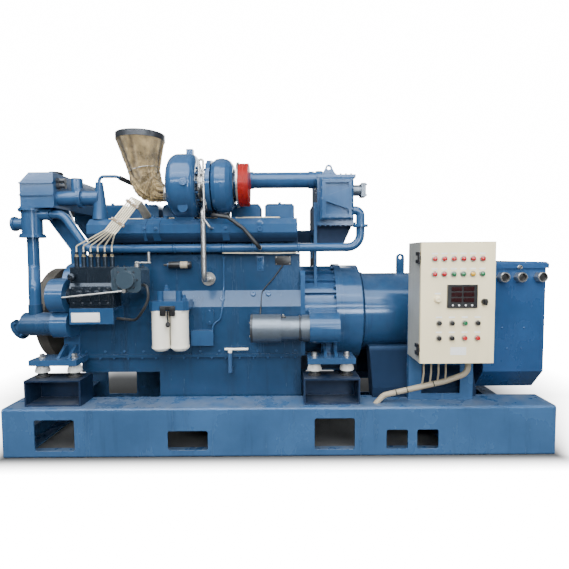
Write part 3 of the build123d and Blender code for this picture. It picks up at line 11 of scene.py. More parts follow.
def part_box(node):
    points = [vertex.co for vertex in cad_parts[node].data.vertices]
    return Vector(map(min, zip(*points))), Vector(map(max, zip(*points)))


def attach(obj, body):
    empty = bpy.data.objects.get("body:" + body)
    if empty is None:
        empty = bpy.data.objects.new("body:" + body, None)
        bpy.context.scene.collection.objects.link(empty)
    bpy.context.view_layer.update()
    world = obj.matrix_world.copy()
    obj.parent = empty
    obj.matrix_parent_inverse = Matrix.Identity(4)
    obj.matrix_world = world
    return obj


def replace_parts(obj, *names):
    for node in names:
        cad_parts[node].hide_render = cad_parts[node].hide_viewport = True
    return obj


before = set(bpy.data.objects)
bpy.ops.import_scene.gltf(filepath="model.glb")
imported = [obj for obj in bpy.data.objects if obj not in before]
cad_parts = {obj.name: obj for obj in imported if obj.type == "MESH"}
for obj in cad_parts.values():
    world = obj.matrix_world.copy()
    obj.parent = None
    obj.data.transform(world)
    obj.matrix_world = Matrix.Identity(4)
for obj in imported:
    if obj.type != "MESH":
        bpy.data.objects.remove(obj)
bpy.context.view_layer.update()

bl_info = {
    "name": "Generator set dressing",
    "version": (1, 0, 0),
    "blender": (4, 5, 0),
    "location": "3D View > Sidebar > Generator set",
    "description": "Finishes, fasteners, controls and lagging for a diesel generator set",
    "category": "Object",
}


# Settings that a user would change


def colour(name, description, value):
    """A colour setting with its name, description and default."""
    return FloatVectorProperty(
        name=name, description=description, subtype="COLOR", size=4, min=0, max=1, default=(*value, 1)
    )


def length(name, description, value):
    """A length setting in metres."""
    return FloatProperty(name=name, description=description, unit="LENGTH", min=0, default=value)


def amount(name, description, value, least=0):
    """A strength, scale or share."""
    return FloatProperty(name=name, description=description, min=least, default=value)


def tally(name, description, value, least):
    """How many there are of something."""
    return IntProperty(name=name, description=description, min=least, default=value)


def lean(name, description, degrees):
    """An angle setting, from degrees."""
    return FloatProperty(name=name, description=description, subtype="ANGLE", default=math.radians(degrees))


def standpoint(name, description, value):
    """A place in the scene, in metres."""
    return FloatVectorProperty(name=name, description=description, subtype="TRANSLATION", default=value)


class SetColours(bpy.types.PropertyGroup):
    """Colours of the paints, metals, plastics and cloth."""

    engine_paint: colour("Engine paint", "Gloss blue of the engine", (0.022, 0.066, 0.150))
    # Partly painted shade: the casting paint is darker than the engine paint in part to stand in for the
    # shade that the parts above cast on the block and pan.
    casting_paint_and_painted_shade: colour("Casting paint", "Darker blue of the block and pan", (0.013, 0.040, 0.090))
    # Painted shade: this blue-black stands in for the shade on the stator's feet, under the exhaust manifold,
    # on the mount boxes and on the charge duct.
    painted_shade_blue: colour("Deep paint", "Blue-black of the shaded ironwork", (0.006, 0.016, 0.040))
    base_paint: colour("Base paint", "Blue of the base frame", (0.036, 0.092, 0.195))
    box_paint: colour("Terminal box paint", "Deeper blue of the terminal box", (0.018, 0.060, 0.155))
    dust: colour("Dust", "Pale dust on upward faces", (0.42, 0.40, 0.37))
    dark_iron: colour("Dark iron", "Oiled castings of the injection pump", (0.007, 0.011, 0.017))
    oiled_grey: colour("Oiled grey", "Dull grey-blue of the governor", (0.030, 0.046, 0.062))
    brass: colour("Brass", "Nuts of the delivery valves", (0.50, 0.40, 0.24))
    clip_brown: colour("Clip brown", "Clamps of the fuel lines", (0.20, 0.135, 0.075))
    damper_grey: colour("Damper grey", "Grey-brown of the vibration damper", (0.075, 0.066, 0.055))
    steel: colour("Steel", "Plated bolts and pipes", (0.46, 0.45, 0.43))
    line_cream: colour("Fuel line cream", "Pale plating of the fuel lines", (0.80, 0.70, 0.52))
    isolator_white: colour("Isolator white", "Painted caps of the rubber mounts", (0.78, 0.76, 0.71))
    filter_white: colour("Filter white", "Paint of the spin-on filters", (0.88, 0.83, 0.72))
    grey_metal: colour("Starter grey", "Bare grey of the starter motor", (0.15, 0.18, 0.22))
    red_screen: colour("Filter red", "Red foam and screen of the air filter", (0.36, 0.010, 0.007))
    lagging: colour("Lagging cloth", "Tan glass cloth on the exhaust", (0.27, 0.19, 0.085))
    black_iron: colour("Black iron", "Exhaust rim", (0.022, 0.024, 0.028))
    rubber: colour("Rubber", "Hoses and black fittings", (0.016, 0.016, 0.017))
    cream: colour("Cabinet cream", "Powder coat of the cabinet door", (0.88, 0.75, 0.48))
    cabinet_grey: colour("Cabinet grey", "Powder coat of the cabinet shell", (0.40, 0.40, 0.37))
    plastic: colour("Black plastic", "Knobs, bezels and glands", (0.013, 0.013, 0.014))
    label: colour("Label white", "Bare strips above the lamps", (0.86, 0.85, 0.82))
    lamp_red: colour("Red lens", "Red pilot lamps and buttons", (0.50, 0.012, 0.018))
    lamp_green: colour("Green lens", "Green pilot lamps and buttons", (0.018, 0.16, 0.062))
    lamp_amber: colour("Amber lens", "Amber pilot lamp", (0.72, 0.40, 0.03))
    display: colour("Display red", "Dark red windows of the meter", (0.022, 0.003, 0.004))
    cable: colour("Cable sheath", "Beige sheath of the cables", (0.36, 0.30, 0.21))
    grime: colour("Grime", "Dark runs on painted faces", (0.012, 0.013, 0.016))
    stain: colour("Stain", "Brown stains on bare metal", (0.09, 0.065, 0.045))
    # Painted shade: the colour that the cloth's creases darken towards.
    painted_fold_shade: colour("Fold shade", "Depth of the cloth's folds", (0.05, 0.032, 0.014))
    soot: colour("Soot", "Soot on the cloth", (0.06, 0.042, 0.02))


class SetFasteners(bpy.types.PropertyGroup):
    """Sizes of bolts, nuts and screws, and of what they sit on."""

    head_width: length("Head width", "Width across the flats of a middle-sized bolt", 0.018)
    head_height: length("Head height", "Height of that bolt's head", 0.011)
    washer_width: length("Washer width", "Diameter of its washer", 0.026)
    washer_height: length("Washer height", "Thickness of its washer", 0.002)
    flange_count: tally("Flange bolts", "Bolts on each side of the bell", 11, 3)
    rim_inset: length("Rim inset", "How far a bolt stands in from a flange's rim", 0.009)
    pan_flange: length("Pan flange", "Thickness of the oil pan's flange", 0.020)
    bell_flange: length("Bell flange", "Thickness of the flywheel housing's rear flange", 0.022)
    water_flange: length("Water flange", "Thickness of the thermostat housing's flanges", 0.016)
    isolator_radius: length("Isolator radius", "Radius of a rubber mount", 0.044)
    isolator_pitch: length("Isolator pitch", "Distance between the two mounts of a foot", 0.200)
    foot_plate: length("Foot plate", "Thickness of an engine foot", 0.035)
    box_plate: length("Box plate", "Plate thickness of a mount box", 0.010)
    block_step: length("Block step", "How far the block's upper side stands back", 0.050)
    strap_relief: length("Strap relief", "Thickness of a strap on the exhaust manifold", 0.008)
    strap_slope: length("Strap slope", "Depth of the manifold's sloping faces", 0.0494)
    strap_low: length("Strap low", "Height at which the manifold's flat front starts", 0.0555)
    strap_high: length("Strap high", "Height at which the manifold's flat front ends", 0.108)
    strap_top: length("Strap top", "Height of the manifold", 0.146)


class SetPump(bpy.types.PropertyGroup):
    """Sizes round the injection pump."""

    cover_thickness: length("Cover thickness", "Thickness of the pump's side cover", 0.006)
    valve_pitch: length("Valve pitch", "Distance between delivery valves", 0.043)
    middle_shift: length("Middle shift", "From the middle of the pump's box to its middle valve", 0.0135)
    clip_width: length("Clip width", "Width of a clamp over six fuel lines", 0.086)


class SetLines(bpy.types.PropertyGroup):
    """Radii of hoses, wires and lines, and of the clips round them."""

    drain_hose: length("Drain hose", "Radius of the hose from the governor", 0.0085)
    conduit: length("Conduit", "Radius of the conduit on the block", 0.0055)
    wire: length("Wire", "Radius of the starter's wire", 0.0042)
    sensor_line: length("Sensor line", "Radius of the line under the water pipe", 0.0045)
    vent_sleeve: length("Vent sleeve", "Radius of the vent pipe's rubber sleeve", 0.0150)
    pipe_clip: length("Pipe clip", "Radius of a clip round the water pipe", 0.0278)
    cable_tie: length("Cable tie", "Radius of a tie round the cables", 0.0178)
    hose_clip: length("Hose clip", "Radius of a clip round the coolant hose", 0.0128)


class SetGlands(bpy.types.PropertyGroup):
    """Sizes of the cable glands."""

    bore: length("Bore", "Bore of a terminal gland", 0.025)
    floor_gland: length("Floor gland", "Radius of a gland in the cabinet's floor", 0.012)
    floor_count: tally("Floor glands", "Glands in the cabinet's floor", 7, 2)


class SetFilter(bpy.types.PropertyGroup):
    """Sizes of the red air filter ring."""

    radius: length("Radius", "Radius of the red ring", 0.129)
    pleats: tally("Pleats", "Pleats round the ring", 120, 12)


class SetControls(bpy.types.PropertyGroup):
    """Sizes of what is on the cabinet door."""

    lens_radius: length("Lens radius", "Radius of a pilot lamp's lens", 0.0125)
    lens_dome: length("Lens dome", "Height of a lens above its bezel", 0.007)
    label_width: length("Label width", "Width of a bare strip above a lamp", 0.034)
    label_height: length("Label height", "Height of such a strip", 0.009)


class SetCloth(bpy.types.PropertyGroup):
    """Sizes of the lagging cloth."""

    wrinkle: length("Wrinkle depth", "How far the cloth's folds stand out", 0.017)
    weave: amount("Weave scale", "Threads over a metre", 420.0, 1)
    tie_radius: length("Tie radius", "Radius of the wire round the cloth", 0.0022)
    axis_drop: length("Axis drop", "From the turbocharger's axis down to the elbow's start", 0.048)
    bore_radius: length("Bore radius", "Radius of the outlet", 0.084)
    bore_depth: length("Bore depth", "Depth of the outlet below its rim", 0.110)
    around: tally("Points round", "Points round the cloth", 144, 16)
    steps: tally("Steps along", "Steps along the cloth", 110, 16)


class SetStage(bpy.types.PropertyGroup):
    """Camera, floor and lights."""

    camera_place: standpoint("Camera place", "Where the camera stands", (0.04, -3.05, 1.197))
    camera_pitch: lean("Camera pitch", "How far it looks down", 3.75)
    camera_roll: lean("Camera roll", "How far it leans", -0.41)
    lens: amount("Lens", "Focal length in millimetres", 27.206, 1)
    key_place: standpoint("Key place", "Where the large light hangs", (-0.6, -2.7, 4.3))
    front_place: standpoint("Front place", "Where the front light stands", (0.0, -5.6, 2.8))
    low_place: standpoint("Low place", "Where the low light stands", (1.55, -5.6, 1.45))
    strip_place: standpoint("Strip place", "Where the strip light hangs", (0.0, -3.9, 4.6))
    side_place: standpoint("Side place", "Where the light past the generator stands", (4.4, -2.2, 2.6))
    back_place: standpoint("Back place", "Where the light behind the set stands", (-0.8, 4.4, 3.4))
    sky: amount("Sky", "Strength of the even light", 0.23)
    white: amount("White", "Brightness of the backdrop", 20.0)
    key: amount("Key light", "Power of the large light above", 500.0)
    fill: amount("Fill light", "Power that the smaller lights share", 120.0)
    daylight: colour("Daylight", "Tint of the soft lights", (0.93, 0.97, 1.0))
    floor_tone: amount("Floor tone", "How pale the floor is", 0.09)
    # The floor's painted shadow: how far it reaches in front, sideways and behind the set.
    floor_edge: length("Floor edge", "How far the set's shade reaches over the floor", 0.22)
    floor_side: length("Floor side", "How far the shade spreads sideways behind the set", 1.3)
    floor_behind: length("Floor behind", "How far the shade reaches behind the set", 2.6)


SETTINGS = {
    "set_colours": SetColours,
    "set_fasteners": SetFasteners,
    "set_pump": SetPump,
    "set_lines": SetLines,
    "set_glands": SetGlands,
    "set_filter": SetFilter,
    "set_controls": SetControls,
    "set_cloth": SetCloth,
    "set_stage": SetStage,
}


def settings(name):
    """One group of settings of the current scene."""
    return getattr(bpy.context.scene, name)


def colour_of(name):
    """One of the set's colours."""
    return tuple(getattr(settings("set_colours"), name))


# Shader nodes

# PAINTED_SHADOW_BLACK is the colour of the floor's painted shadow behind the set.
BLACK, PAINTED_SHADOW_BLACK, GREY, WHITE = ((tone, tone, tone, 1) for tone in (0, 0.01, 0.4, 1))


def feed(tree, socket, value):
    """Links a socket to another one, or gives it a plain value."""
    if isinstance(value, bpy.types.NodeSocket):
        tree.links.new(value, socket)
    else:
        socket.default_value = value


def add(tree, kind, sockets=None, **values):
    """A node with some of its properties set and some of its sockets fed."""
    made = tree.nodes.new(kind)
    for name, value in values.items():
        setattr(made, name, value)
    for name, value in (sockets or {}).items():
        feed(tree, made.inputs[name], value)
    return made


def new_group(name, inputs, outputs):
    """A shader node group with named sockets, and the sockets of its two end nodes."""
    group = bpy.data.node_groups.new(name, "ShaderNodeTree")
    for label, value in inputs.items():
        kind = "NodeSocketColor" if isinstance(value, tuple) else "NodeSocketFloat"
        group.interface.new_socket(label, in_out="INPUT", socket_type=kind).default_value = value
    for label in outputs:
        kind = "NodeSocketColor" if label == "Colour" else "NodeSocketFloat"
        group.interface.new_socket(label, in_out="OUTPUT", socket_type=kind)
    return group, group.nodes.new("NodeGroupInput").outputs, group.nodes.new("NodeGroupOutput").inputs


def noise_at(tree, vector, scale, detail=4.0, roughness=0.55):
    """A noise texture on a vector."""
    sockets = {"Vector": vector, "Scale": scale, "Detail": detail, "Roughness": roughness}
    return add(tree, "ShaderNodeTexNoise", sockets).outputs["Fac"]


def fitted(tree, value, low, high, to_low=0.0, to_high=1.0):
    """A value mapped from one range to another and clamped."""
    sockets = {"Value": value, "From Min": low, "From Max": high, "To Min": to_low, "To Max": to_high}
    return add(tree, "ShaderNodeMapRange", sockets, clamp=True).outputs["Result"]


def maths(tree, operation, first, second):
    """A math node on two sockets or numbers."""
    return add(tree, "ShaderNodeMath", {0: first, 1: second}, operation=operation).outputs["Value"]


def product(tree, first, *others):
    """Sockets or numbers multiplied."""
    for other in others:
        first = maths(tree, "MULTIPLY", first, other)
    return first


def total(tree, first, *others):
    """Sockets or numbers added up."""
    for other in others:
        first = maths(tree, "ADD", first, other)
    return first


def mixed(tree, factor, first, second):
    """A colour mix of two sockets or colours."""
    return add(tree, "ShaderNodeMix", {0: factor, 6: first, 7: second}, data_type="RGBA").outputs[2]


def stretched(tree, vector, scale):
    """A vector scaled differently along each axis."""
    return add(tree, "ShaderNodeMapping", {"Vector": vector, "Scale": scale}).outputs["Vector"]


def place_in(tree):
    """Where a shaded point is, in metres."""
    return add(tree, "ShaderNodeTexCoord").outputs["Object"]


def facing_in(tree):
    """Which way a shaded point faces."""
    return add(tree, "ShaderNodeNewGeometry").outputs["Normal"]


def part_of(tree, vector, axis):
    """One of a vector's three parts."""
    return add(tree, "ShaderNodeSeparateXYZ", {"Vector": vector}).outputs[axis]


def weathered_coat():
    """Group: a coat with drifts in tone, runs of grime, dust on top faces and a fine skin."""
    sockets = {"Coat": GREY, "Dust Colour": GREY, "Variation": 0.2, "Grime": 0.25, "Dust": 0.2, "Gloss": 0.3}
    group, start, end = new_group(
        "weathered_coat", {**sockets, "Skin Scale": 160.0}, ("Colour", "Roughness", "Height")
    )
    place = place_in(group)
    drift = noise_at(group, place, 3.2, 5.0)
    tone = product(group, fitted(group, drift, 0.3, 0.7, -1.0, 1.0), start["Variation"])
    shade = add(group, "ShaderNodeHueSaturation", {"Color": start["Coat"], "Value": total(group, tone, 1.0)})
    runs = noise_at(group, stretched(group, place, (17.0, 17.0, 1.6)), 1.0, 6.0, 0.62)
    grime = product(group, fitted(group, runs, 0.52, 0.78), start["Grime"])
    coat = mixed(group, grime, shade.outputs["Color"], colour_of("grime"))
    up = fitted(group, part_of(group, facing_in(group), "Z"), 0.55, 1.0)
    specks = fitted(group, noise_at(group, place, 9.0, 6.0, 0.65), 0.38, 0.72)
    dust = product(group, up, specks, start["Dust"])
    waves = fitted(group, drift, 0.3, 0.7, -0.05, 0.07)
    rough = total(group, start["Gloss"], waves, product(group, dust, 0.5), product(group, grime, 0.25))
    feed(group, end["Colour"], mixed(group, dust, coat, start["Dust Colour"]))
    feed(group, end["Roughness"], rough)
    feed(group, end["Height"], noise_at(group, place, start["Skin Scale"], 3.0))
    return group


def rubbed_edges():
    """Group: a broken mask along the outer edges, where a coat rubs thin and where a painted highlight
    catches the edge.
    """
    group, start, end = new_group("rubbed_edges", {"Width": 0.004, "Amount": 0.5}, ("Mask",))
    rounded = add(group, "ShaderNodeBevel", {"Radius": start["Width"]}, samples=4).outputs["Normal"]
    pair = {0: rounded, 1: facing_in(group)}
    meet = add(group, "ShaderNodeVectorMath", pair, operation="DOT_PRODUCT").outputs["Value"]
    edge = fitted(group, meet, 0.99, 0.8)
    broken = fitted(group, noise_at(group, place_in(group), 26.0, 5.0, 0.7), 0.4, 0.62)
    feed(group, end["Mask"], product(group, edge, broken, start["Amount"]))
    return group


def drawn_metal():
    """Group: fine lines and stains on bare or plated metal."""
    sockets = {"Metal": GREY, "Stain": 0.3, "Gloss": 0.3}
    group, start, end = new_group("drawn_metal", sockets, ("Colour", "Roughness", "Height"))
    place = place_in(group)
    lines = noise_at(group, stretched(group, place, (40.0, 420.0, 420.0)), 1.0, 3.0)
    blotch = noise_at(group, place, 22.0, 6.0, 0.68)
    stain = product(group, fitted(group, blotch, 0.5, 0.75), start["Stain"])
    streaks = fitted(group, lines, 0.3, 0.7, -0.06, 0.1)
    feed(group, end["Colour"], mixed(group, stain, start["Metal"], colour_of("stain")))
    feed(group, end["Roughness"], total(group, start["Gloss"], streaks, product(group, stain, 0.6)))
    feed(group, end["Height"], lines)
    return group


# Finishes

GROUPS = {}
FINISHES = {}


def placed_effect(tree, maker, **values):
    """The outputs of a shared group with its own values, made the first time that it is asked for."""
    if maker not in GROUPS:
        GROUPS[maker] = maker()
    sockets = {label.replace("_", " "): value for label, value in values.items()}
    return add(tree, "ShaderNodeGroup", sockets, node_tree=GROUPS[maker]).outputs


def blank_finish(name):
    """A new material, its nodes and its shader's sockets."""
    material = bpy.data.materials.new(name)
    material.use_nodes = True
    return material, material.node_tree, material.node_tree.nodes["Principled BSDF"].inputs


def dress(tree, shader, **values):
    """Feeds a shader's sockets, named with an underscore for each space."""
    for label, value in values.items():
        feed(tree, shader[label.replace("_", " ")], value)


def bumped(tree, shader, height, strength, distance):
    """Feeds a height to the shader's normal."""
    sockets = {"Strength": strength, "Distance": distance, "Height": height}
    dress(tree, shader, Normal=add(tree, "ShaderNodeBump", sockets).outputs["Normal"])


def scaled(tint, share, lift=0.0):
    """A colour made paler or deeper."""
    return tuple(min(1.0, lift + share * channel) for channel in tint[:3]) + (1.0,)


def coated(
    name, tint, variation=0.16, grime=0.25, dust=0.2, gloss=0.26, coat=0.12, skin=140.0, relief=0.12,
    rub=0.35, shade=None,
):
    """A painted finish, with another colour below some height of a node where a shade is given: painted shade
    on the stator and the exhaust manifold, a real second paint on the dipstick.
    """
    material, tree, shader = blank_finish(name)
    film = placed_effect(
        tree, weathered_coat, Coat=tint, Dust_Colour=colour_of("dust"), Variation=variation, Grime=grime,
        Dust=dust, Gloss=gloss, Skin_Scale=skin,
    )
    edges = placed_effect(tree, rubbed_edges, Width=0.005, Amount=rub)
    # The edge mask turns the paint paler: partly worn paint, partly a painted highlight along the edges.
    face = mixed(tree, edges["Mask"], film["Colour"], scaled(tint, 1.6, 0.10))
    rough = film["Roughness"]
    # Where a shade is given, the colour below the height is swapped and its gloss and coat taken away:
    # painted shade on the stator's feet and under the exhaust manifold, a real second paint on the dipstick.
    if shade:
        paint, node, low, high = shade
        above = fitted(tree, part_of(tree, place_in(tree), "Z"), at(node, z=low).z, at(node, z=high).z)
        face = mixed(tree, above, colour_of(paint), face)
        rough = maths(tree, "MAXIMUM", rough, maths(tree, "SUBTRACT", 1.0, above))
        coat = product(tree, above, coat)
    sheen = scaled(tint, 0.55 / max(tint[:3]), 0.45)
    dress(
        tree, shader, Base_Color=face, Roughness=rough, Coat_Weight=coat, Coat_Roughness=0.12,
        Specular_Tint=sheen,
    )
    bumped(tree, shader, film["Height"], relief, 0.002)
    return material


def metallic(name, tint, gloss=0.3, stain=0.3, metal=0.9):
    """A bare or plated metal finish."""
    material, tree, shader = blank_finish(name)
    film = placed_effect(tree, drawn_metal, Metal=tint, Stain=stain, Gloss=gloss)
    dress(tree, shader, Base_Color=film["Colour"], Roughness=film["Roughness"], Metallic=metal)
    bumped(tree, shader, film["Height"], 0.06, 0.001)
    return material


def moulded(name, tint, gloss=0.42, variation=0.08, dust=0.12):
    """A moulded plastic or rubber finish with a fine grain."""
    material, tree, shader = blank_finish(name)
    film = placed_effect(
        tree, weathered_coat, Coat=tint, Dust_Colour=colour_of("dust"), Variation=variation, Grime=0.05,
        Dust=dust, Gloss=gloss, Skin_Scale=900.0,
    )
    dress(tree, shader, Base_Color=film["Colour"], Roughness=film["Roughness"])
    bumped(tree, shader, film["Height"], 0.15, 0.0008)
    return material


def lens_glass(name, tint):
    """A coloured lamp lens, a little cloudy."""
    material, tree, shader = blank_finish(name)
    place = place_in(tree)
    cloud = fitted(tree, noise_at(tree, place, 160.0, 3.0), 0.3, 0.7)
    face = mixed(tree, cloud, tint, scaled(tint, 0.6))
    rough = fitted(tree, cloud, 0.0, 1.0, 0.14, 0.26)
    dress(tree, shader, Base_Color=face, Roughness=rough, Coat_Weight=0.6, Coat_Roughness=0.05)
    bumped(tree, shader, noise_at(tree, place, 1400.0, 2.0), 0.1, 0.0005)
    return material


def glass_cloth(name, tint):
    """Woven glass cloth, glossy where its coating catches the light, with painted shade in its creases."""
    material, tree, shader = blank_finish(name)
    place = place_in(tree)
    blotch = noise_at(tree, place, 12.0, 6.0, 0.62)
    cloth = mixed(tree, fitted(tree, blotch, 0.36, 0.66), scaled(tint, 0.55), scaled(tint, 1.75))
    fold = add(tree, "ShaderNodeAttribute", attribute_name="fold").outputs["Fac"]
    # Painted shade in the creases: where the cloth stands in, it darkens towards the fold shade.
    cloth = mixed(tree, fitted(tree, fold, 0.15, 0.62), colour_of("painted_fold_shade"), cloth)
    grime = fitted(tree, noise_at(tree, place, 30.0, 5.0, 0.7), 0.58, 0.76, 0.0, 0.5)
    rough = fitted(tree, blotch, 0.3, 0.7, 0.24, 0.46)
    face = mixed(tree, grime, cloth, colour_of("soot"))
    dress(tree, shader, Base_Color=face, Roughness=rough, Metallic=0.25, Sheen_Weight=0.2)
    sockets = {"Vector": place, "Scale": settings("set_cloth").weave, "Distortion": 1.5}
    warp, weft = (
        add(tree, "ShaderNodeTexWave", sockets, bands_direction=way).outputs["Fac"]
        for way in ("Z", "DIAGONAL")
    )
    creases = product(tree, noise_at(tree, stretched(tree, place, (30.0, 30.0, 11.0)), 1.0, 5.0), 4.0)
    bumped(tree, shader, total(tree, product(tree, warp, weft), creases), 0.55, 0.003)
    return material


# Each finish: how it is made, its colour and what else it needs
FINISH_TABLE = {
    "engine_blue": (coated, "engine_paint", dict(gloss=0.16, dust=0.1, coat=0.22)),
    # Castings: a darker blue, partly painted shade of the parts that overhang them.
    "cast_blue": (coated, "casting_paint_and_painted_shade", dict(gloss=0.22, skin=420.0, relief=0.2, grime=0.42, dust=0.1)),
    # Engine blue with painted shade: below its drum the stator frame turns blue-black and dull, for the shade
    # on its feet.
    "stator_blue": (
        coated, "engine_paint", dict(gloss=0.17, dust=0.1, shade=("painted_shade_blue", "stator_frame", 0.30, 0.37))
    ),
    # Engine blue with painted shade: the lower part of the exhaust manifold turns blue-black and dull, for
    # the shade under its rail.
    "manifold_blue": (
        coated, "engine_paint",
        dict(gloss=0.17, dust=0.1, shade=("painted_shade_blue", "exhaust_manifold", 0.12, 0.38))
    ),
    # Painted shade: the mount boxes under the feet are painted blue-black for the shade they sit in.
    "deep_blue": (coated, "painted_shade_blue", dict(gloss=0.34, grime=0.4, dust=0.14, coat=0.2, rub=0.5)),
    # Painted shade: the charge duct is painted blue-black, with its coat taken away, for the shade it sits
    # in.
    "duct_blue": (
        coated, "painted_shade_blue", dict(gloss=0.66, grime=0.4, dust=0.1, coat=0.0, skin=300.0, relief=0.2, rub=0.5)
    ),
    "base_blue": (coated, "base_paint", dict(gloss=0.24, grime=0.32, dust=0.24)),
    "box_blue": (coated, "box_paint", dict(gloss=0.26, grime=0.16, dust=0.1)),
    "pump_black": (
        coated, "dark_iron", dict(gloss=0.24, grime=0.5, dust=0.08, skin=420.0, relief=0.25, rub=0.8)
    ),
    "governor_grey": (
        coated, "oiled_grey", dict(gloss=0.2, grime=0.6, dust=0.05, skin=300.0, relief=0.3, rub=0.9)
    ),
    "dipstick_paint": (
        coated, "filter_white", dict(gloss=0.3, dust=0.1, shade=("engine_paint", "dipstick", 0.80, 0.82))
    ),
    "brass": (metallic, "brass", dict(stain=0.4)),
    "clip_brown": (moulded, "clip_brown", dict(gloss=0.45, variation=0.2)),
    "damper_grey": (coated, "damper_grey", dict(gloss=0.45, coat=0.0, skin=300.0, rub=0.5)),
    "plated_steel": (metallic, "steel", dict(gloss=0.28)),
    "line_cream": (metallic, "line_cream", dict(gloss=0.34, metal=0.35, stain=0.35)),
    "isolator_white": (moulded, "isolator_white", dict(gloss=0.38, dust=0.3, variation=0.12)),
    "filter_white": (
        coated, "filter_white", dict(gloss=0.24, grime=0.14, dust=0.1, rub=0.1, variation=0.05)
    ),
    "starter_grey": (metallic, "grey_metal", dict(gloss=0.33, metal=0.7, stain=0.25)),
    "red_screen": (coated, "red_screen", dict(gloss=0.36, grime=0.35, skin=700.0, relief=0.6, rub=0.1)),
    "lagging_cloth": (glass_cloth, "lagging", {}),
    "black_iron": (coated, "black_iron", dict(gloss=0.36, grime=0.2, coat=0.2, skin=300.0)),
    "hose_rubber": (moulded, "rubber", dict(gloss=0.5)),
    "cabinet_cream": (
        coated, "cream",
        dict(gloss=0.36, grime=0.08, dust=0.05, coat=0.15, skin=900.0, relief=0.1, rub=0.12, variation=0.05)
    ),
    "cabinet_grey": (
        coated, "cabinet_grey",
        dict(gloss=0.38, grime=0.18, dust=0.1, coat=0.15, skin=900.0, relief=0.1, rub=0.2)
    ),
    "black_plastic": (moulded, "plastic", dict(gloss=0.3)),
    "label_white": (moulded, "label", dict(gloss=0.4, dust=0.0)),
    "red_lens": (lens_glass, "lamp_red", {}),
    "green_lens": (lens_glass, "lamp_green", {}),
    "amber_lens": (lens_glass, "lamp_amber", {}),
    "display_red": (lens_glass, "display", {}),
    "cable_sheath": (moulded, "cable", dict(gloss=0.5, variation=0.2)),
}


def finish(name):
    """A named finish, made the first time it is asked for."""
    if name not in FINISHES:
        maker, tint, options = FINISH_TABLE[name]
        FINISHES[name] = maker(name, colour_of(tint), **options)
    return FINISHES[name]


NODE_FINISHES = {
    "engine_blue": (
        "rocker_covers charge_pipe intercooler cooler_bracket water_pipe thermostat_housing down_pipe "
        "crossover expansion_tank tank_bracket vent_pipe adapter_ring engine_feet pump_bracket filter_head "
        "junction_box compressor_housing turbine_housing gear_case flywheel_housing"
    ),
    # Painted shade under the exhaust manifold's rail.
    "manifold_blue": "exhaust_manifold",
    # The castings' darker blue is partly painted shade.
    "cast_blue": "crankcase cylinder_heads intake_manifold side_covers oil_pan sea_water_pump",
    "governor_grey": "governor",
    "dipstick_paint": "dipstick",
    # Painted shade on the stator's feet.
    "stator_blue": "stator_frame",
    # Painted shade: the mount boxes are painted blue-black for the shade they sit in.
    "deep_blue": "mount_boxes",
    # Painted shade: the charge duct is painted blue-black and dull for the shade it sits in.
    "duct_blue": "charge_duct",
    "base_blue": "base_beams cross_members cabinet_stand",
    "box_blue": "terminal_box terminal_lid",
    "pump_black": "injection_pump",
    "damper_grey": "damper",
    "plated_steel": "turbo_centre oil_pipes throttle_link terminal_glands",
    "line_cream": "fuel_lines",
    "isolator_white": "isolators",
    "filter_white": "filters",
    "starter_grey": "starter_motor sea_water_outlet",
    "red_screen": "air_filter",
    "lagging_cloth": "exhaust_lagging",
    "black_iron": "exhaust_rim",
    "hose_rubber": "coolant_hose",
    "cabinet_cream": "cabinet_door",
    "cabinet_grey": "cabinet_shell",
    "black_plastic": "hinge_leaves door_hinges meter_panel door_switches",
    "red_lens": "door_lamps",
    "cable_sheath": "cable_harness",
}


# Mesh helpers


def at(node, x=0.5, y=0.5, z=0.5):
    """A point in a node's box, by shares of the box's three sides."""
    low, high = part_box(node)
    return Vector([a + share * (b - a) for a, b, share in zip(low, high, (x, y, z))])


def spread(first, last, count):
    """Numbers evenly from one value to another."""
    return [first + (last - first) * i / (count - 1) for i in range(count)]


def eased(values, share):
    """A smooth value at a share of the way along a row of values."""
    place = min(max(share, 0.0), 1.0) * (len(values) - 1)
    i = min(int(place), len(values) - 2)
    t = place - i
    before, start, end, after = (values[min(max(k, 0), len(values) - 1)] for k in range(i - 1, i + 3))
    slope, slope_end = (end - before) / 2, (after - start) / 2
    rise = t * t * (3 - 2 * t)
    return start + (end - start) * rise + t * (1 - t) * ((1 - t) * slope - t * slope_end)


def ridge(value):
    """A noise value folded into sharp crests."""
    return 1 - min(1.0, 2.2 * abs(value))


def basis(axis):
    """A rotation that turns +Z to an axis."""
    return Vector(axis).normalized().to_track_quat("Z", "Y").to_matrix().to_4x4()


def turned(bm, profile, place, axis, sides=32):
    """Adds a closed profile of (radius, height) points turned about an axis."""
    spin = Matrix.Translation(place) @ basis(axis)
    rings = []
    for radius, height in profile:
        if radius < 1e-6:
            rings.append([bm.verts.new(spin @ Vector((0, 0, height)))])
            continue
        ring = []
        for i in range(sides):
            angle = 2 * math.pi * i / sides
            spot = Vector((radius * math.cos(angle), radius * math.sin(angle), height))
            ring.append(bm.verts.new(spin @ spot))
        rings.append(ring)
    for low, high in zip(rings, rings[1:]):
        for i in range(sides):
            j = (i + 1) % sides
            corners = [low[i % len(low)], low[j % len(low)], high[j % len(high)], high[i % len(high)]]
            unique = list(dict.fromkeys(corners))
            if len(unique) > 2:
                bm.faces.new(unique)


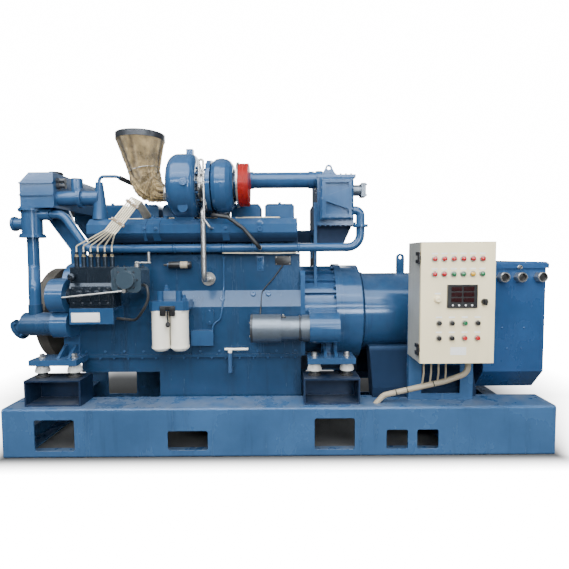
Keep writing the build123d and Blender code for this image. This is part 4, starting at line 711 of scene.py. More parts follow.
def slab(bm, low, high, edge=0.001, segments=2, place=None):
    """Adds a box between two corners with rounded edges, moved by a matrix where one is given."""
    low, high = Vector(low), Vector(high)
    made = bmesh.ops.create_cube(bm, size=1.0)["verts"]
    size = high - low
    bmesh.ops.scale(bm, vec=size, verts=made)
    bmesh.ops.translate(bm, vec=(low + high) / 2, verts=made)
    edges = list({e for v in made for e in v.link_edges})
    if place:
        bmesh.ops.transform(bm, matrix=place, verts=made)
    width = min(edge, min(size) * 0.45)
    bmesh.ops.bevel(bm, geom=edges, offset=width, segments=segments, profile=0.6, affect="EDGES")


def smooth_line(points):
    """Points along a smooth line that follows a row of control points."""
    curve = bpy.data.curves.new("route", "CURVE")
    curve.dimensions = "3D"
    spline = curve.splines.new("NURBS")
    spline.points.add(len(points) - 1)
    for spot, place in zip(spline.points, points):
        spot.co = (*place, 1.0)
    spline.order_u = 3
    spline.use_endpoint_u = True
    spline.resolution_u = 8
    route = bpy.data.objects.new("route", curve)
    mesh = bpy.data.meshes.new_from_object(route)
    line = [vert.co.copy() for vert in mesh.vertices]
    bpy.data.objects.remove(route)
    bpy.data.curves.remove(curve)
    bpy.data.meshes.remove(mesh)
    return line


def tube(bm, line, radius, sides=12):
    """Adds a round tube along a line of points, closed at its ends or all round."""
    rings = []
    side = None
    last = len(line) - 1
    turns = [2 * math.pi * k / sides for k in range(sides)]
    for i, place in enumerate(line):
        along = (line[min(i + 1, last)] - line[max(i - 1, 0)]).normalized()
        side = along.orthogonal() if side is None else side - along * side.dot(along)
        side.normalize()
        up = along.cross(side)
        circle = [place + (side * math.cos(turn) + up * math.sin(turn)) * radius for turn in turns]
        rings.append([bm.verts.new(spot) for spot in circle])
    for low, high in zip(rings, rings[1:]):
        for i in range(sides):
            j = (i + 1) % sides
            bm.faces.new((low[i], low[j], high[j], high[i]))
    bm.faces.new(rings[0])
    bm.faces.new(rings[-1])


def fit(made, body):
    """Gives a piece its body."""
    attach(made, body)
    return made


def piece(name, bm, finish_name, body="set", smooth=30.0):
    """Turns mesh data into a finished piece on a body."""
    bmesh.ops.remove_doubles(bm, verts=bm.verts, dist=1e-6)
    bmesh.ops.recalc_face_normals(bm, faces=bm.faces)
    mesh = bpy.data.meshes.new(name)
    bm.to_mesh(mesh)
    bm.free()
    mesh.materials.append(finish(finish_name))
    made = bpy.data.objects.new(name, mesh)
    bpy.context.collection.objects.link(made)
    mesh.shade_smooth()
    mesh.set_sharp_from_angle(angle=math.radians(smooth))
    return fit(made, body)


# Geometry Nodes for what repeats


def tree_with(name, *sizes):
    """A geometry tree with named sizes and a material, and the sockets of its two end nodes."""
    tree = bpy.data.node_groups.new(name, "GeometryNodeTree")
    inputs = [("Geometry", "NodeSocketGeometry"), *((size, "NodeSocketFloat") for size in sizes)]
    for label, kind in (*inputs, ("Material", "NodeSocketMaterial")):
        tree.interface.new_socket(label, in_out="INPUT", socket_type=kind)
    tree.interface.new_socket("Geometry", in_out="OUTPUT", socket_type="NodeSocketGeometry")
    return tree, tree.nodes.new("NodeGroupInput").outputs, tree.nodes.new("NodeGroupOutput").inputs


def moved_up(tree, geometry, height):
    """A shape moved along Z by a socket's value."""
    place = add(tree, "ShaderNodeCombineXYZ", {"Z": height}).outputs["Vector"]
    sockets = {"Geometry": geometry, "Translation": place}
    return add(tree, "GeometryNodeTransform", sockets).outputs["Geometry"]


def drum(tree, sides, width, height, share=1.0):
    """A prism of some sides, with its width and height from sockets."""
    sockets = {"Vertices": sides, "Radius": product(tree, width, 0.5 * share), "Depth": height}
    return add(tree, "GeometryNodeMeshCylinder", sockets).outputs["Mesh"]


def carried(tree, name, kind):
    """A value that every point carries under a name."""
    return add(tree, "GeometryNodeInputNamedAttribute", {"Name": name}, data_type=kind).outputs["Attribute"]


def set_on_points(tree, start, end, shape):
    """Places a shape on every point, turned to its axis and scaled by its size."""
    axis = carried(tree, "axis", "FLOAT_VECTOR")
    turn = add(tree, "FunctionNodeAlignRotationToVector", {"Vector": axis}, axis="Z").outputs["Rotation"]
    size = carried(tree, "size", "FLOAT")
    sockets = {"Points": start["Geometry"], "Instance": shape, "Rotation": turn, "Scale": size}
    copies = add(tree, "GeometryNodeInstanceOnPoints", sockets).outputs["Instances"]
    real = add(tree, "GeometryNodeRealizeInstances", {"Geometry": copies}).outputs["Geometry"]
    paint = add(tree, "GeometryNodeSetMaterial", {"Geometry": real, "Material": start["Material"]})
    feed(tree, end["Geometry"], paint.outputs["Geometry"])
    return tree


def hex_bolts():
    """Hexagon heads on washers."""
    tree, start, end = tree_with("hex_bolts", "Head Width", "Head Height", "Washer Width", "Washer Height")
    width, height, lift = start["Head Width"], start["Head Height"], start["Washer Height"]
    washer = moved_up(tree, drum(tree, 20, start["Washer Width"], lift), product(tree, lift, 0.5))
    head = drum(tree, 6, width, height, 2 / math.sqrt(3))
    head = moved_up(tree, head, total(tree, lift, product(tree, height, 0.5)))
    sockets = {
        "Vertices": 6,
        "Radius Bottom": product(tree, width, 0.577),
        "Radius Top": product(tree, width, 0.47),
        "Depth": product(tree, height, 0.16),
    }
    cap = add(tree, "GeometryNodeMeshCone", sockets).outputs["Mesh"]
    both = add(tree, "GeometryNodeJoinGeometry")
    for shape in (washer, head, moved_up(tree, cap, total(tree, lift, height))):
        feed(tree, both.inputs["Geometry"], shape)
    return set_on_points(tree, start, end, both.outputs["Geometry"])


def round_heads():
    """Low round heads, as on rivets and cover screws."""
    tree, start, end = tree_with("round_heads", "Head Width", "Head Height")
    radius = product(tree, start["Head Width"], 0.5)
    sockets = {"Segments": 16, "Rings": 8, "Radius": radius}
    ball = add(tree, "GeometryNodeMeshUVSphere", sockets).outputs["Mesh"]
    ratio = maths(tree, "DIVIDE", start["Head Height"], radius)
    flat = add(tree, "ShaderNodeCombineXYZ", {"X": 1, "Y": 1, "Z": ratio}).outputs["Vector"]
    press = add(tree, "GeometryNodeTransform", {"Geometry": ball, "Scale": flat}).outputs["Geometry"]
    smooth = add(tree, "GeometryNodeSetShadeSmooth", {"Geometry": press}).outputs["Geometry"]
    return set_on_points(tree, start, end, smooth)


def bands():
    """Thin flat rings, as of cable ties and hose clips."""
    tree, start, end = tree_with("bands", "Inner Radius", "Band Width", "Band Height")
    sockets = {"Resolution": 28, "Radius": start["Inner Radius"]}
    ring = add(tree, "GeometryNodeCurvePrimitiveCircle", sockets).outputs["Curve"]
    sockets = {"Width": product(tree, start["Band Height"], 2.0), "Height": start["Band Width"]}
    strip = add(tree, "GeometryNodeCurvePrimitiveQuadrilateral", sockets).outputs["Curve"]
    sweep = add(tree, "GeometryNodeCurveToMesh", {"Curve": ring, "Profile Curve": strip}).outputs["Mesh"]
    return set_on_points(tree, start, end, sweep)


def pleats():
    """Upright pleats round a drum, one on each point."""
    tree, start, end = tree_with("pleats", "Depth", "Width", "Length")
    sockets = {"X": start["Length"], "Y": start["Width"], "Z": start["Depth"]}
    size = add(tree, "ShaderNodeCombineXYZ", sockets).outputs["Vector"]
    fold = add(tree, "GeometryNodeMeshCube", {"Size": size}).outputs["Mesh"]
    return set_on_points(tree, start, end, fold)


TREES = {}


def repeated(name, points, maker, values, finish_name):
    """A piece made of one shape on many points, each (place, axis, size)."""
    if maker not in TREES:
        TREES[maker] = maker()
    tree = TREES[maker]
    mesh = bpy.data.meshes.new(name)
    mesh.from_pydata([tuple(place) for place, _, _ in points], [], [])
    mesh.attributes.new("axis", "FLOAT_VECTOR", "POINT")
    mesh.attributes.new("size", "FLOAT", "POINT")
    axes, sizes = mesh.attributes["axis"].data, mesh.attributes["size"].data
    for i, (_, axis, size) in enumerate(points):
        axes[i].vector = Vector(axis).normalized()
        sizes[i].value = size
    made = bpy.data.objects.new(name, mesh)
    bpy.context.collection.objects.link(made)
    modifier = made.modifiers.new("repeat", "NODES")
    modifier.node_group = tree
    wanted = dict(values, Material=finish(finish_name))
    for socket in tree.interface.items_tree:
        if socket.in_out == "INPUT" and socket.name in wanted:
            modifier[socket.identifier] = wanted[socket.name]
    depsgraph = bpy.context.evaluated_depsgraph_get()
    solid = bpy.data.meshes.new_from_object(made.evaluated_get(depsgraph), depsgraph=depsgraph)
    made.modifiers.clear()
    made.data = solid
    solid.name = name
    for attribute in ("axis", "size"):
        if attribute in solid.attributes:
            solid.attributes.remove(solid.attributes[attribute])
    bpy.data.meshes.remove(mesh)
    return fit(made, "set")


def ring_of(centre, axis, radius, count, first=0.0, sweep=360.0, size=1.0):
    """Points evenly round a circle, all facing along its axis."""
    turn = basis(axis)
    steps = count if sweep >= 360 else count - 1
    points = []
    for i in range(count):
        angle = math.radians(first + sweep * i / steps)
        offset = turn @ Vector((radius * math.cos(angle), radius * math.sin(angle), 0))
        points.append((Vector(centre) + offset, axis, size))
    return points


def row_of(start, end, count, axis, size=1.0):
    """Points evenly along a line."""
    start, end = Vector(start), Vector(end)
    return [(start.lerp(end, i / max(count - 1, 1)), axis, size) for i in range(count)]


UP, DOWN, LEFT, RIGHT, FRONT, BACK = (0, 0, 1), (0, 0, -1), (-1, 0, 0), (1, 0, 0), (0, -1, 0), (0, 1, 0)


def bolts(name, points, finish_name="plated_steel"):
    """Hexagon bolts of the set's sizes on points."""
    sizes = settings("set_fasteners")
    values = {
        "Head Width": sizes.head_width,
        "Head Height": sizes.head_height,
        "Washer Width": sizes.washer_width,
        "Washer Height": sizes.washer_height,
    }
    return repeated(name, points, hex_bolts, values, finish_name)


def round_screws(name, points, width, height, finish_name):
    """Round heads of one size on points."""
    return repeated(name, points, round_heads, {"Head Width": width, "Head Height": height}, finish_name)


def flat_bands(name, points, radius, width, height, finish_name):
    """Flat bands of one size round points."""
    values = {"Inner Radius": radius, "Band Width": width, "Band Height": height}
    return repeated(name, points, bands, values, finish_name)


def mount_places(level):
    """Where the eight rubber mounts stand, at some level."""
    sizes = settings("set_fasteners")
    low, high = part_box("isolators")
    inset, pitch = sizes.isolator_radius, sizes.isolator_pitch
    along = (low.x + inset, low.x + inset + pitch, high.x - inset - pitch, high.x - inset)
    return [Vector((x, y, level)) for x in along for y in (low.y + inset, high.y - inset)]


# Operators, one for each group of pieces


class FinishSolids(bpy.types.Operator):
    """Gives every solid of the set its paint, metal or plastic finish"""

    bl_idname = "genset.finish_solids"
    bl_label = "Finish the solids"

    def execute(self, context):
        for name, nodes in NODE_FINISHES.items():
            for node in nodes.split():
                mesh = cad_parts[node].data
                mesh.materials.clear()
                mesh.materials.append(finish(name))
        finished = {node for nodes in NODE_FINISHES.values() for node in nodes.split()}
        missing = set(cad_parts) - finished
        if missing:
            raise RuntimeError(f"no finish for {sorted(missing)}")
        return {"FINISHED"}


class FitBolts(bpy.types.Operator):
    """Fits bolts and nuts to the feet, flanges, covers and pump"""

    bl_idname = "genset.fit_bolts"
    bl_label = "Fit the bolts"

    def execute(self, context):
        bolts("mount_bolts", self.mounts())
        painted = self.engine_bolts() + self.water_bolts() + self.turbo_bolts() + self.cooler_bolts()
        bolts("painted_bolts", painted, "engine_blue")
        bolts("pump_bolts", self.pump_bolts(), "pump_black")
        middle = at("injection_pump", z=0.912)
        nuts = [(middle + Vector((step, 0, 0)), UP, 1.0) for step in self.delivery_steps()]
        bolts("delivery_nuts", nuts, "brass")
        return {"FINISHED"}

    def mounts(self):
        """Bolts down through the feet, and nuts under the tops of the mount boxes."""
        sizes = settings("set_fasteners")
        low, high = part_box("isolators")
        points = [(place, UP, 1.7) for place in mount_places(high.z + sizes.foot_plate)]
        return points + [(place, DOWN, 1.5) for place in mount_places(low.z - sizes.box_plate)]

    def engine_bolts(self):
        """Bolts of the oil pan, flywheel flange, rocker covers, heads, damper and block."""
        sizes = settings("set_fasteners")
        low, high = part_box("oil_pan")
        rim = sizes.rim_inset
        level = high.z - sizes.pan_flange
        points = []
        for y in (low.y + rim, high.y - rim):
            start, end = (low.x + 4 * rim, y, level), (high.x - 4 * rim, y, level)
            points += row_of(start, end, 16, DOWN, 0.75)
        low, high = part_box("adapter_ring")
        centre = Vector((low.x - sizes.bell_flange, 0, (low.z + high.z) / 2))
        for first in (25, 205):
            points += ring_of(centre, LEFT, high.y - 2 * rim, sizes.flange_count, first, 130, 0.85)
        low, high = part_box("rocker_covers")
        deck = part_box("cylinder_heads")[1]
        cover = (high.y - low.y) / 2.2
        for x in spread(low.x + cover, high.x - cover, 6):
            points += [(Vector((x, y, high.z)), UP, 1.0) for y in (low.y / 2, high.y / 2)]
            studs = (x - cover / 1.4, x + cover / 1.4)
            points += [(Vector((stud, 0.75 * deck.y, deck.z)), UP, 1.1) for stud in studs]
        hub = at("damper", x=0)
        points += ring_of(hub, LEFT, 0.4 * (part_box("damper")[1].z - hub.z), 8, size=1.1)
        low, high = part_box("crankcase")
        level = low.z + 2 * rim
        for y, axis in ((low.y, FRONT), (high.y, BACK)):
            start, end = (low.x + 4 * rim, y, level), (high.x - 4 * rim, y, level)
            points += row_of(start, end, 12, axis, 0.6)
        return points

    def water_bolts(self):
        """Bolts of the thermostat housing, the sea-water pump and its slanting inlet."""
        sizes = settings("set_fasteners")
        low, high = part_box("thermostat_housing")
        axis = Vector((at("down_pipe").x - 0.024, (low.y + high.y) / 2, 0))
        reach = (high.y - low.y) / 2 - sizes.rim_inset
        flange = sizes.water_flange
        points = ring_of(axis + Vector((0, 0, low.z + flange)), UP, reach, 4, 45, size=0.62)
        points += ring_of(axis + Vector((0, 0, high.z - flange)), DOWN, reach, 4, 45, size=0.62)
        pump_low, pump_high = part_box("sea_water_pump")
        centre = Vector((pump_high.x - 0.19, (pump_low.y + pump_high.y) / 2, pump_high.z - 0.122))
        body = (pump_high.y - pump_low.y) / 2
        points += ring_of(centre, LEFT, 0.82 * body, 6, 30, 300, 0.6)
        slant = Vector((-math.cos(math.pi / 6), 0, -math.sin(math.pi / 6)))
        face = centre + Vector((0.040, 0, 0.012)) + slant * 0.080
        points += ring_of(face, -slant, 0.056, 4, 45, size=0.7)
        return points

    def turbo_bolts(self):
        """Bolts round the turbine's and the compressor's bearing flanges."""
        centre = at("turbo_centre")
        low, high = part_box("turbo_centre")
        reach = (high.z - low.z) / 2
        points = ring_of(Vector((low.x, centre.y, centre.z)), RIGHT, 1.25 * reach, 12, size=0.8)
        points += ring_of(Vector((high.x, centre.y, centre.z)), LEFT, 1.5 * reach, 14, 8, size=0.7)
        return points

    def cooler_bolts(self):
        """Bolts of the charge-air cooler's flanges and water box, and of the outlet flange."""
        sizes = settings("set_fasteners")
        low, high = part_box("intercooler")
        lip = high.x - 0.012
        rim = sizes.rim_inset
        lip_y = low.y + 0.079
        top = high.z - 0.066
        points = row_of((low.x + 2 * rim, lip_y, top), (lip - 2 * rim, lip_y, top), 7, UP, 0.5)
        points += row_of((low.x + 2 * rim, lip_y, low.z), (lip - 2 * rim, lip_y, low.z), 7, DOWN, 0.5)
        for level in (low.z + 0.044, top - 0.044):
            points += row_of((low.x + 3 * rim, low.y, level), (lip - 3 * rim, low.y, level), 5, FRONT, 0.55)
        for x in (low.x + 2.4 * rim, lip - 2.4 * rim):
            points += row_of((x, low.y, low.z + 0.094), (x, low.y, top - 0.094), 3, FRONT, 0.55)
        square = at("sea_water_outlet", x=1)
        points += ring_of(square, RIGHT, 0.048, 4, 45, size=0.55)
        return points

    def pump_bolts(self):
        """Bolts of the injection pump's side cover and of the governor's front and top."""
        low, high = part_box("injection_pump")
        front = low.y - settings("set_pump").cover_thickness
        points = []
        for level in (low.z + 0.032, low.z + 0.118):
            start, end = (low.x + 0.055, front, level), (high.x - 0.028, front, level)
            points += row_of(start, end, 5, FRONT, 0.5)
        low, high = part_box("governor")
        dome = at("governor")
        points += ring_of(Vector((dome.x, low.y + 0.024, dome.z)), FRONT, 0.064, 8, size=0.5)
        for x in (low.x + 0.03, high.x - 0.03):
            points += [(Vector((x, y, high.z)), UP, 0.6) for y in (low.y + 0.06, high.y - 0.03)]
        return points

    def delivery_steps(self):
        """Places of the delivery valves along the pump, about its middle."""
        shift = settings("set_pump").middle_shift
        pitch = settings("set_pump").valve_pitch
        return [shift + pitch * (i - 2.5) for i in range(6)]


class FitMounts(bpy.types.Operator):
    """Fits white bells over the rubber mounts under the feet"""

    bl_idname = "genset.fit_mounts"
    bl_label = "Fit the rubber mounts"

    bell_shares = (
        (0, 0.36), (0.90, 0.36), (1, 0.41), (0.99, 0.53), (0.83, 0.84), (0.72, 0.96), (0.6, 1), (0, 1),
    )
    rubber_shares = ((0, 0), (0.92, 0), (0.92, 0.07), (0.68, 0.14), (0.6, 0.36), (0, 0.36))

    def execute(self, context):
        radius = settings("set_fasteners").isolator_radius
        low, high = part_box("isolators")
        tall = high.z - low.z
        bells, rubbers = bmesh.new(), bmesh.new()
        for place in mount_places(low.z):
            turned(bells, [(radius * r, tall * z) for r, z in self.bell_shares], place, UP, 40)
            turned(rubbers, [(radius * r, tall * z) for r, z in self.rubber_shares], place, UP, 40)
        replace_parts(piece("isolator_bells", bells, "isolator_white"), "isolators")
        piece("isolator_rubbers", rubbers, "hose_rubber")
        return {"FINISHED"}


class FitPump(bpy.types.Operator):
    """Fits the covers, lever and clips of the injection pump, governor and fuel lines"""

    bl_idname = "genset.fit_pump"
    bl_label = "Fit the fuel pump"

    def execute(self, context):
        sizes = settings("set_pump")
        low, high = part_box("injection_pump")
        cover = bmesh.new()
        slab(cover, (low.x + 0.042, low.y - sizes.cover_thickness, low.z + 0.018),
             (high.x - 0.014, low.y, low.z + 0.132), 0.003, 3)
        for i in range(4):
            x = low.x + 0.075 + i * 0.052
            slab(cover, (x, low.y - 0.016, low.z + 0.045), (x + 0.030, low.y, low.z + 0.105), 0.006, 3)
        spindle = [(0, 0), (0.020, 0), (0.020, 0.016), (0.012, 0.020), (0.012, 0.034), (0, 0.034)]
        turned(cover, spindle, at("injection_pump", 0.16, 0, 0.56), FRONT)
        piece("pump_covers", cover, "pump_black")

        lever = bmesh.new()
        low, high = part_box("governor")
        root = Vector((high.x - 0.035, (low.y + high.y) / 2 - 0.03, high.z))
        pivot = [(0, 0), (0.016, 0), (0.016, 0.014), (0.010, 0.018), (0.010, 0.034), (0, 0.034)]
        turned(lever, pivot, root, UP, 24)
        slab(lever, root + Vector((-0.010, -0.010, 0.020)), root + Vector((0.085, 0.010, 0.030)), 0.003)
        pin = [(0, 0), (0.009, 0), (0.009, 0.060), (0, 0.064)]
        turned(lever, pin, root + Vector((0.073, 0, 0.028)), UP, 20)
        piece("governor_lever", lever, "plated_steel")

        self.line_clips(sizes)
        self.drain_hose()
        return {"FINISHED"}

    def drain_hose(self):
        """The black hose that hangs from the governor to the pump's shelf."""
        start = at("governor", 1, 0.45, 0.30)
        end = at("pump_bracket", 1, 0.4, 0.25)
        reach, front, down = Vector((0.038, 0, 0)), Vector((0, -0.052, 0)), Vector(DOWN)
        route = [
            start - reach,
            start + 0.4 * reach + 0.4 * front,
            start + reach + front + 0.030 * down,
            start + reach + front + 0.095 * down,
            start + front + 0.160 * down,
            end + 3.2 * reach + 0.6 * front + 0.010 * down,
            end + 1.4 * reach + 0.006 * down,
            end - 0.2 * reach,
        ]
        hose = bmesh.new()
        tube(hose, smooth_line(route), settings("set_lines").drain_hose, 16)
        piece("drain_hose", hose, "hose_rubber")

    def line_clips(self, sizes):
        """Two clamped bars that hold the six fuel lines together."""
        low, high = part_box("injection_pump")
        middle = Vector(((low.x + high.x) / 2 + sizes.middle_shift, (low.y + high.y) / 2, 0))
        start = middle + Vector((0.1195, -0.052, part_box("fuel_lines")[0].z + 0.112))
        end = middle + Vector((0.2645, 0.005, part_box("fuel_lines")[0].z + 0.317))
        along = (end - start).normalized()
        across = Vector((1, 0, -0.5)).normalized()
        out = along.cross(across).normalized()
        across = out.cross(along)
        turn = Matrix((across, along, out)).transposed().to_4x4()
        side = 1 if out.y < 0 else -1
        reach = sizes.clip_width / 2
        bars, screws = bmesh.new(), []
        for share in (0.30, 0.84):
            place = Matrix.Translation(start.lerp(end, share)) @ turn
            slab(bars, (-reach, -0.009, -0.010), (reach, 0.009, -0.0048), 0.002, 2, place)
            slab(bars, (-reach, -0.009, 0.0048), (reach, 0.009, 0.010), 0.002, 2, place)
            for x in (-0.9 * reach, 0, 0.9 * reach):
                screws.append((place @ Vector((x, 0, side * 0.010)), out * side, 0.4))
        piece("fuel_line_clips", bars, "clip_brown")
        bolts("fuel_clip_screws", screws)


class FitCovers(bpy.types.Operator):
    """Fits screws, plugs, bosses and bare plates to the block and manifold"""

    bl_idname = "genset.fit_covers"
    bl_label = "Fit covers and plates"

    def execute(self, context):
        low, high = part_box("crankcase")
        upper = low.y + settings("set_fasteners").block_step
        self.cover_screws(low, high.x - low.x)
        self.plugs(low, high, upper)
        self.strap_bolts()
        self.plates(high, upper)
        dimples = [(at("terminal_box", x, 0, z), FRONT, 1.0)
                   for x, z in ((0.307, 0.520), (0.667, 0.520), (0.390, 0.352), (0.628, 0.352))]
        round_screws("box_screws", dimples, 0.014, 0.003, "box_blue")
        return {"FINISHED"}

    def cover_screws(self, low, length_x):
        """Screws of the block's side covers, two rows on either side."""
        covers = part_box("side_covers")
        levels = [covers[0].z + share * (covers[1].z - covers[0].z) for share in (0.17, 0.83)]
        screws = [(Vector((low.x + share * length_x, covers[0].y, z)), FRONT, 1.0)
                  for share in (0.325, 0.59) for z in levels]
        screws += [(Vector((x, covers[1].y, z)), BACK, 1.0)
                   for x in spread(covers[0].x + 0.026, covers[1].x - 0.026, 4) for z in levels]
        round_screws("cover_screws", screws, 0.013, 0.004, "engine_blue")

    def plugs(self, low, high, upper):
        """Plugs on the block's sloping ledge, bosses above it, and the manifold's plug and mark."""
        plugs = bmesh.new()
        length_x = high.x - low.x
        ledge = Vector((0, -0.896, 0.444))
        socket = [
            (0, 0), (0.017, 0), (0.017, 0.006), (0.014, 0.009), (0.008, 0.009), (0.008, 0.004), (0, 0.004),
        ]
        for share, inset, drop in ((0.784, 0.0385, 0.259), (0.854, 0.0385, 0.259), (0.645, 0.024, 0.288)):
            place = Vector((low.x + share * length_x, low.y + inset, high.z - drop))
            turned(plugs, socket, place, ledge, 28)
        boss = [(0, 0), (0.016, 0), (0.016, 0.004), (0.010, 0.008), (0, 0.008)]
        for lift in (0.037, 0.092):
            turned(plugs, boss, Vector((low.x + 0.818 * length_x, upper, high.z - lift)), FRONT, 28)
        slab(plugs, (low.x + 0.803 * length_x, upper - 0.003, high.z - 0.112),
             (low.x + 0.833 * length_x, upper, high.z - 0.016), 0.002)
        turned(plugs, socket, at("exhaust_manifold", 0.822, 0.045, 0.50), FRONT, 28)
        mark = Matrix.Translation(at("exhaust_manifold", 0.822, 0.045, 0.73))
        mark = mark @ Matrix.Rotation(math.pi / 4, 4, "Y")
        slab(plugs, (-0.017, -0.005, -0.017), (0.017, 0.002, 0.017), 0.002, 2, mark)
        piece("core_plugs", plugs, "engine_blue")

    def strap_bolts(self):
        """Bolts of the bar over the exhaust manifold."""
        near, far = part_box("exhaust_manifold")
        strap = near.x + 0.33 * (far.x - near.x)
        studs = [(Vector((x, y, near.z + 0.154)), UP, 0.9)
                 for x in (strap - 0.040, strap + 0.040) for y in (near.y + 0.075, far.y - 0.060)]
        bolts("strap_bolts", studs, "engine_blue")

    def plates(self, high, upper):
        """The bare black plate on the block and the bare white one on the pump's shelf, riveted on."""
        dark = bmesh.new()
        plate_low = Vector((high.x - 0.1615, upper - 0.004, high.z - 0.074))
        plate_high = Vector((high.x - 0.0605, upper, high.z - 0.016))
        slab(dark, plate_low, plate_high, 0.002)
        piece("bare_black_plate", dark, "black_plastic")
        pale = bmesh.new()
        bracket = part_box("pump_bracket")[0]
        slab(pale, bracket + Vector((0.0105, -0.002, 0.013)), bracket + Vector((0.1815, 0, 0.069)), 0.001)
        piece("bare_white_plate", pale, "label_white")
        rivets = [(bracket + Vector((x, -0.002, z)), FRONT, 1.0)
                  for x in (0.0175, 0.1745) for z in (0.020, 0.062)]
        rivets += [(Vector((x, plate_low.y, z)), FRONT, 1.0)
                   for x in (plate_low.x + 0.007, plate_high.x - 0.007)
                   for z in (plate_low.z + 0.007, plate_high.z - 0.007)]
        round_screws("plate_rivets", rivets, 0.007, 0.002, "plated_steel")


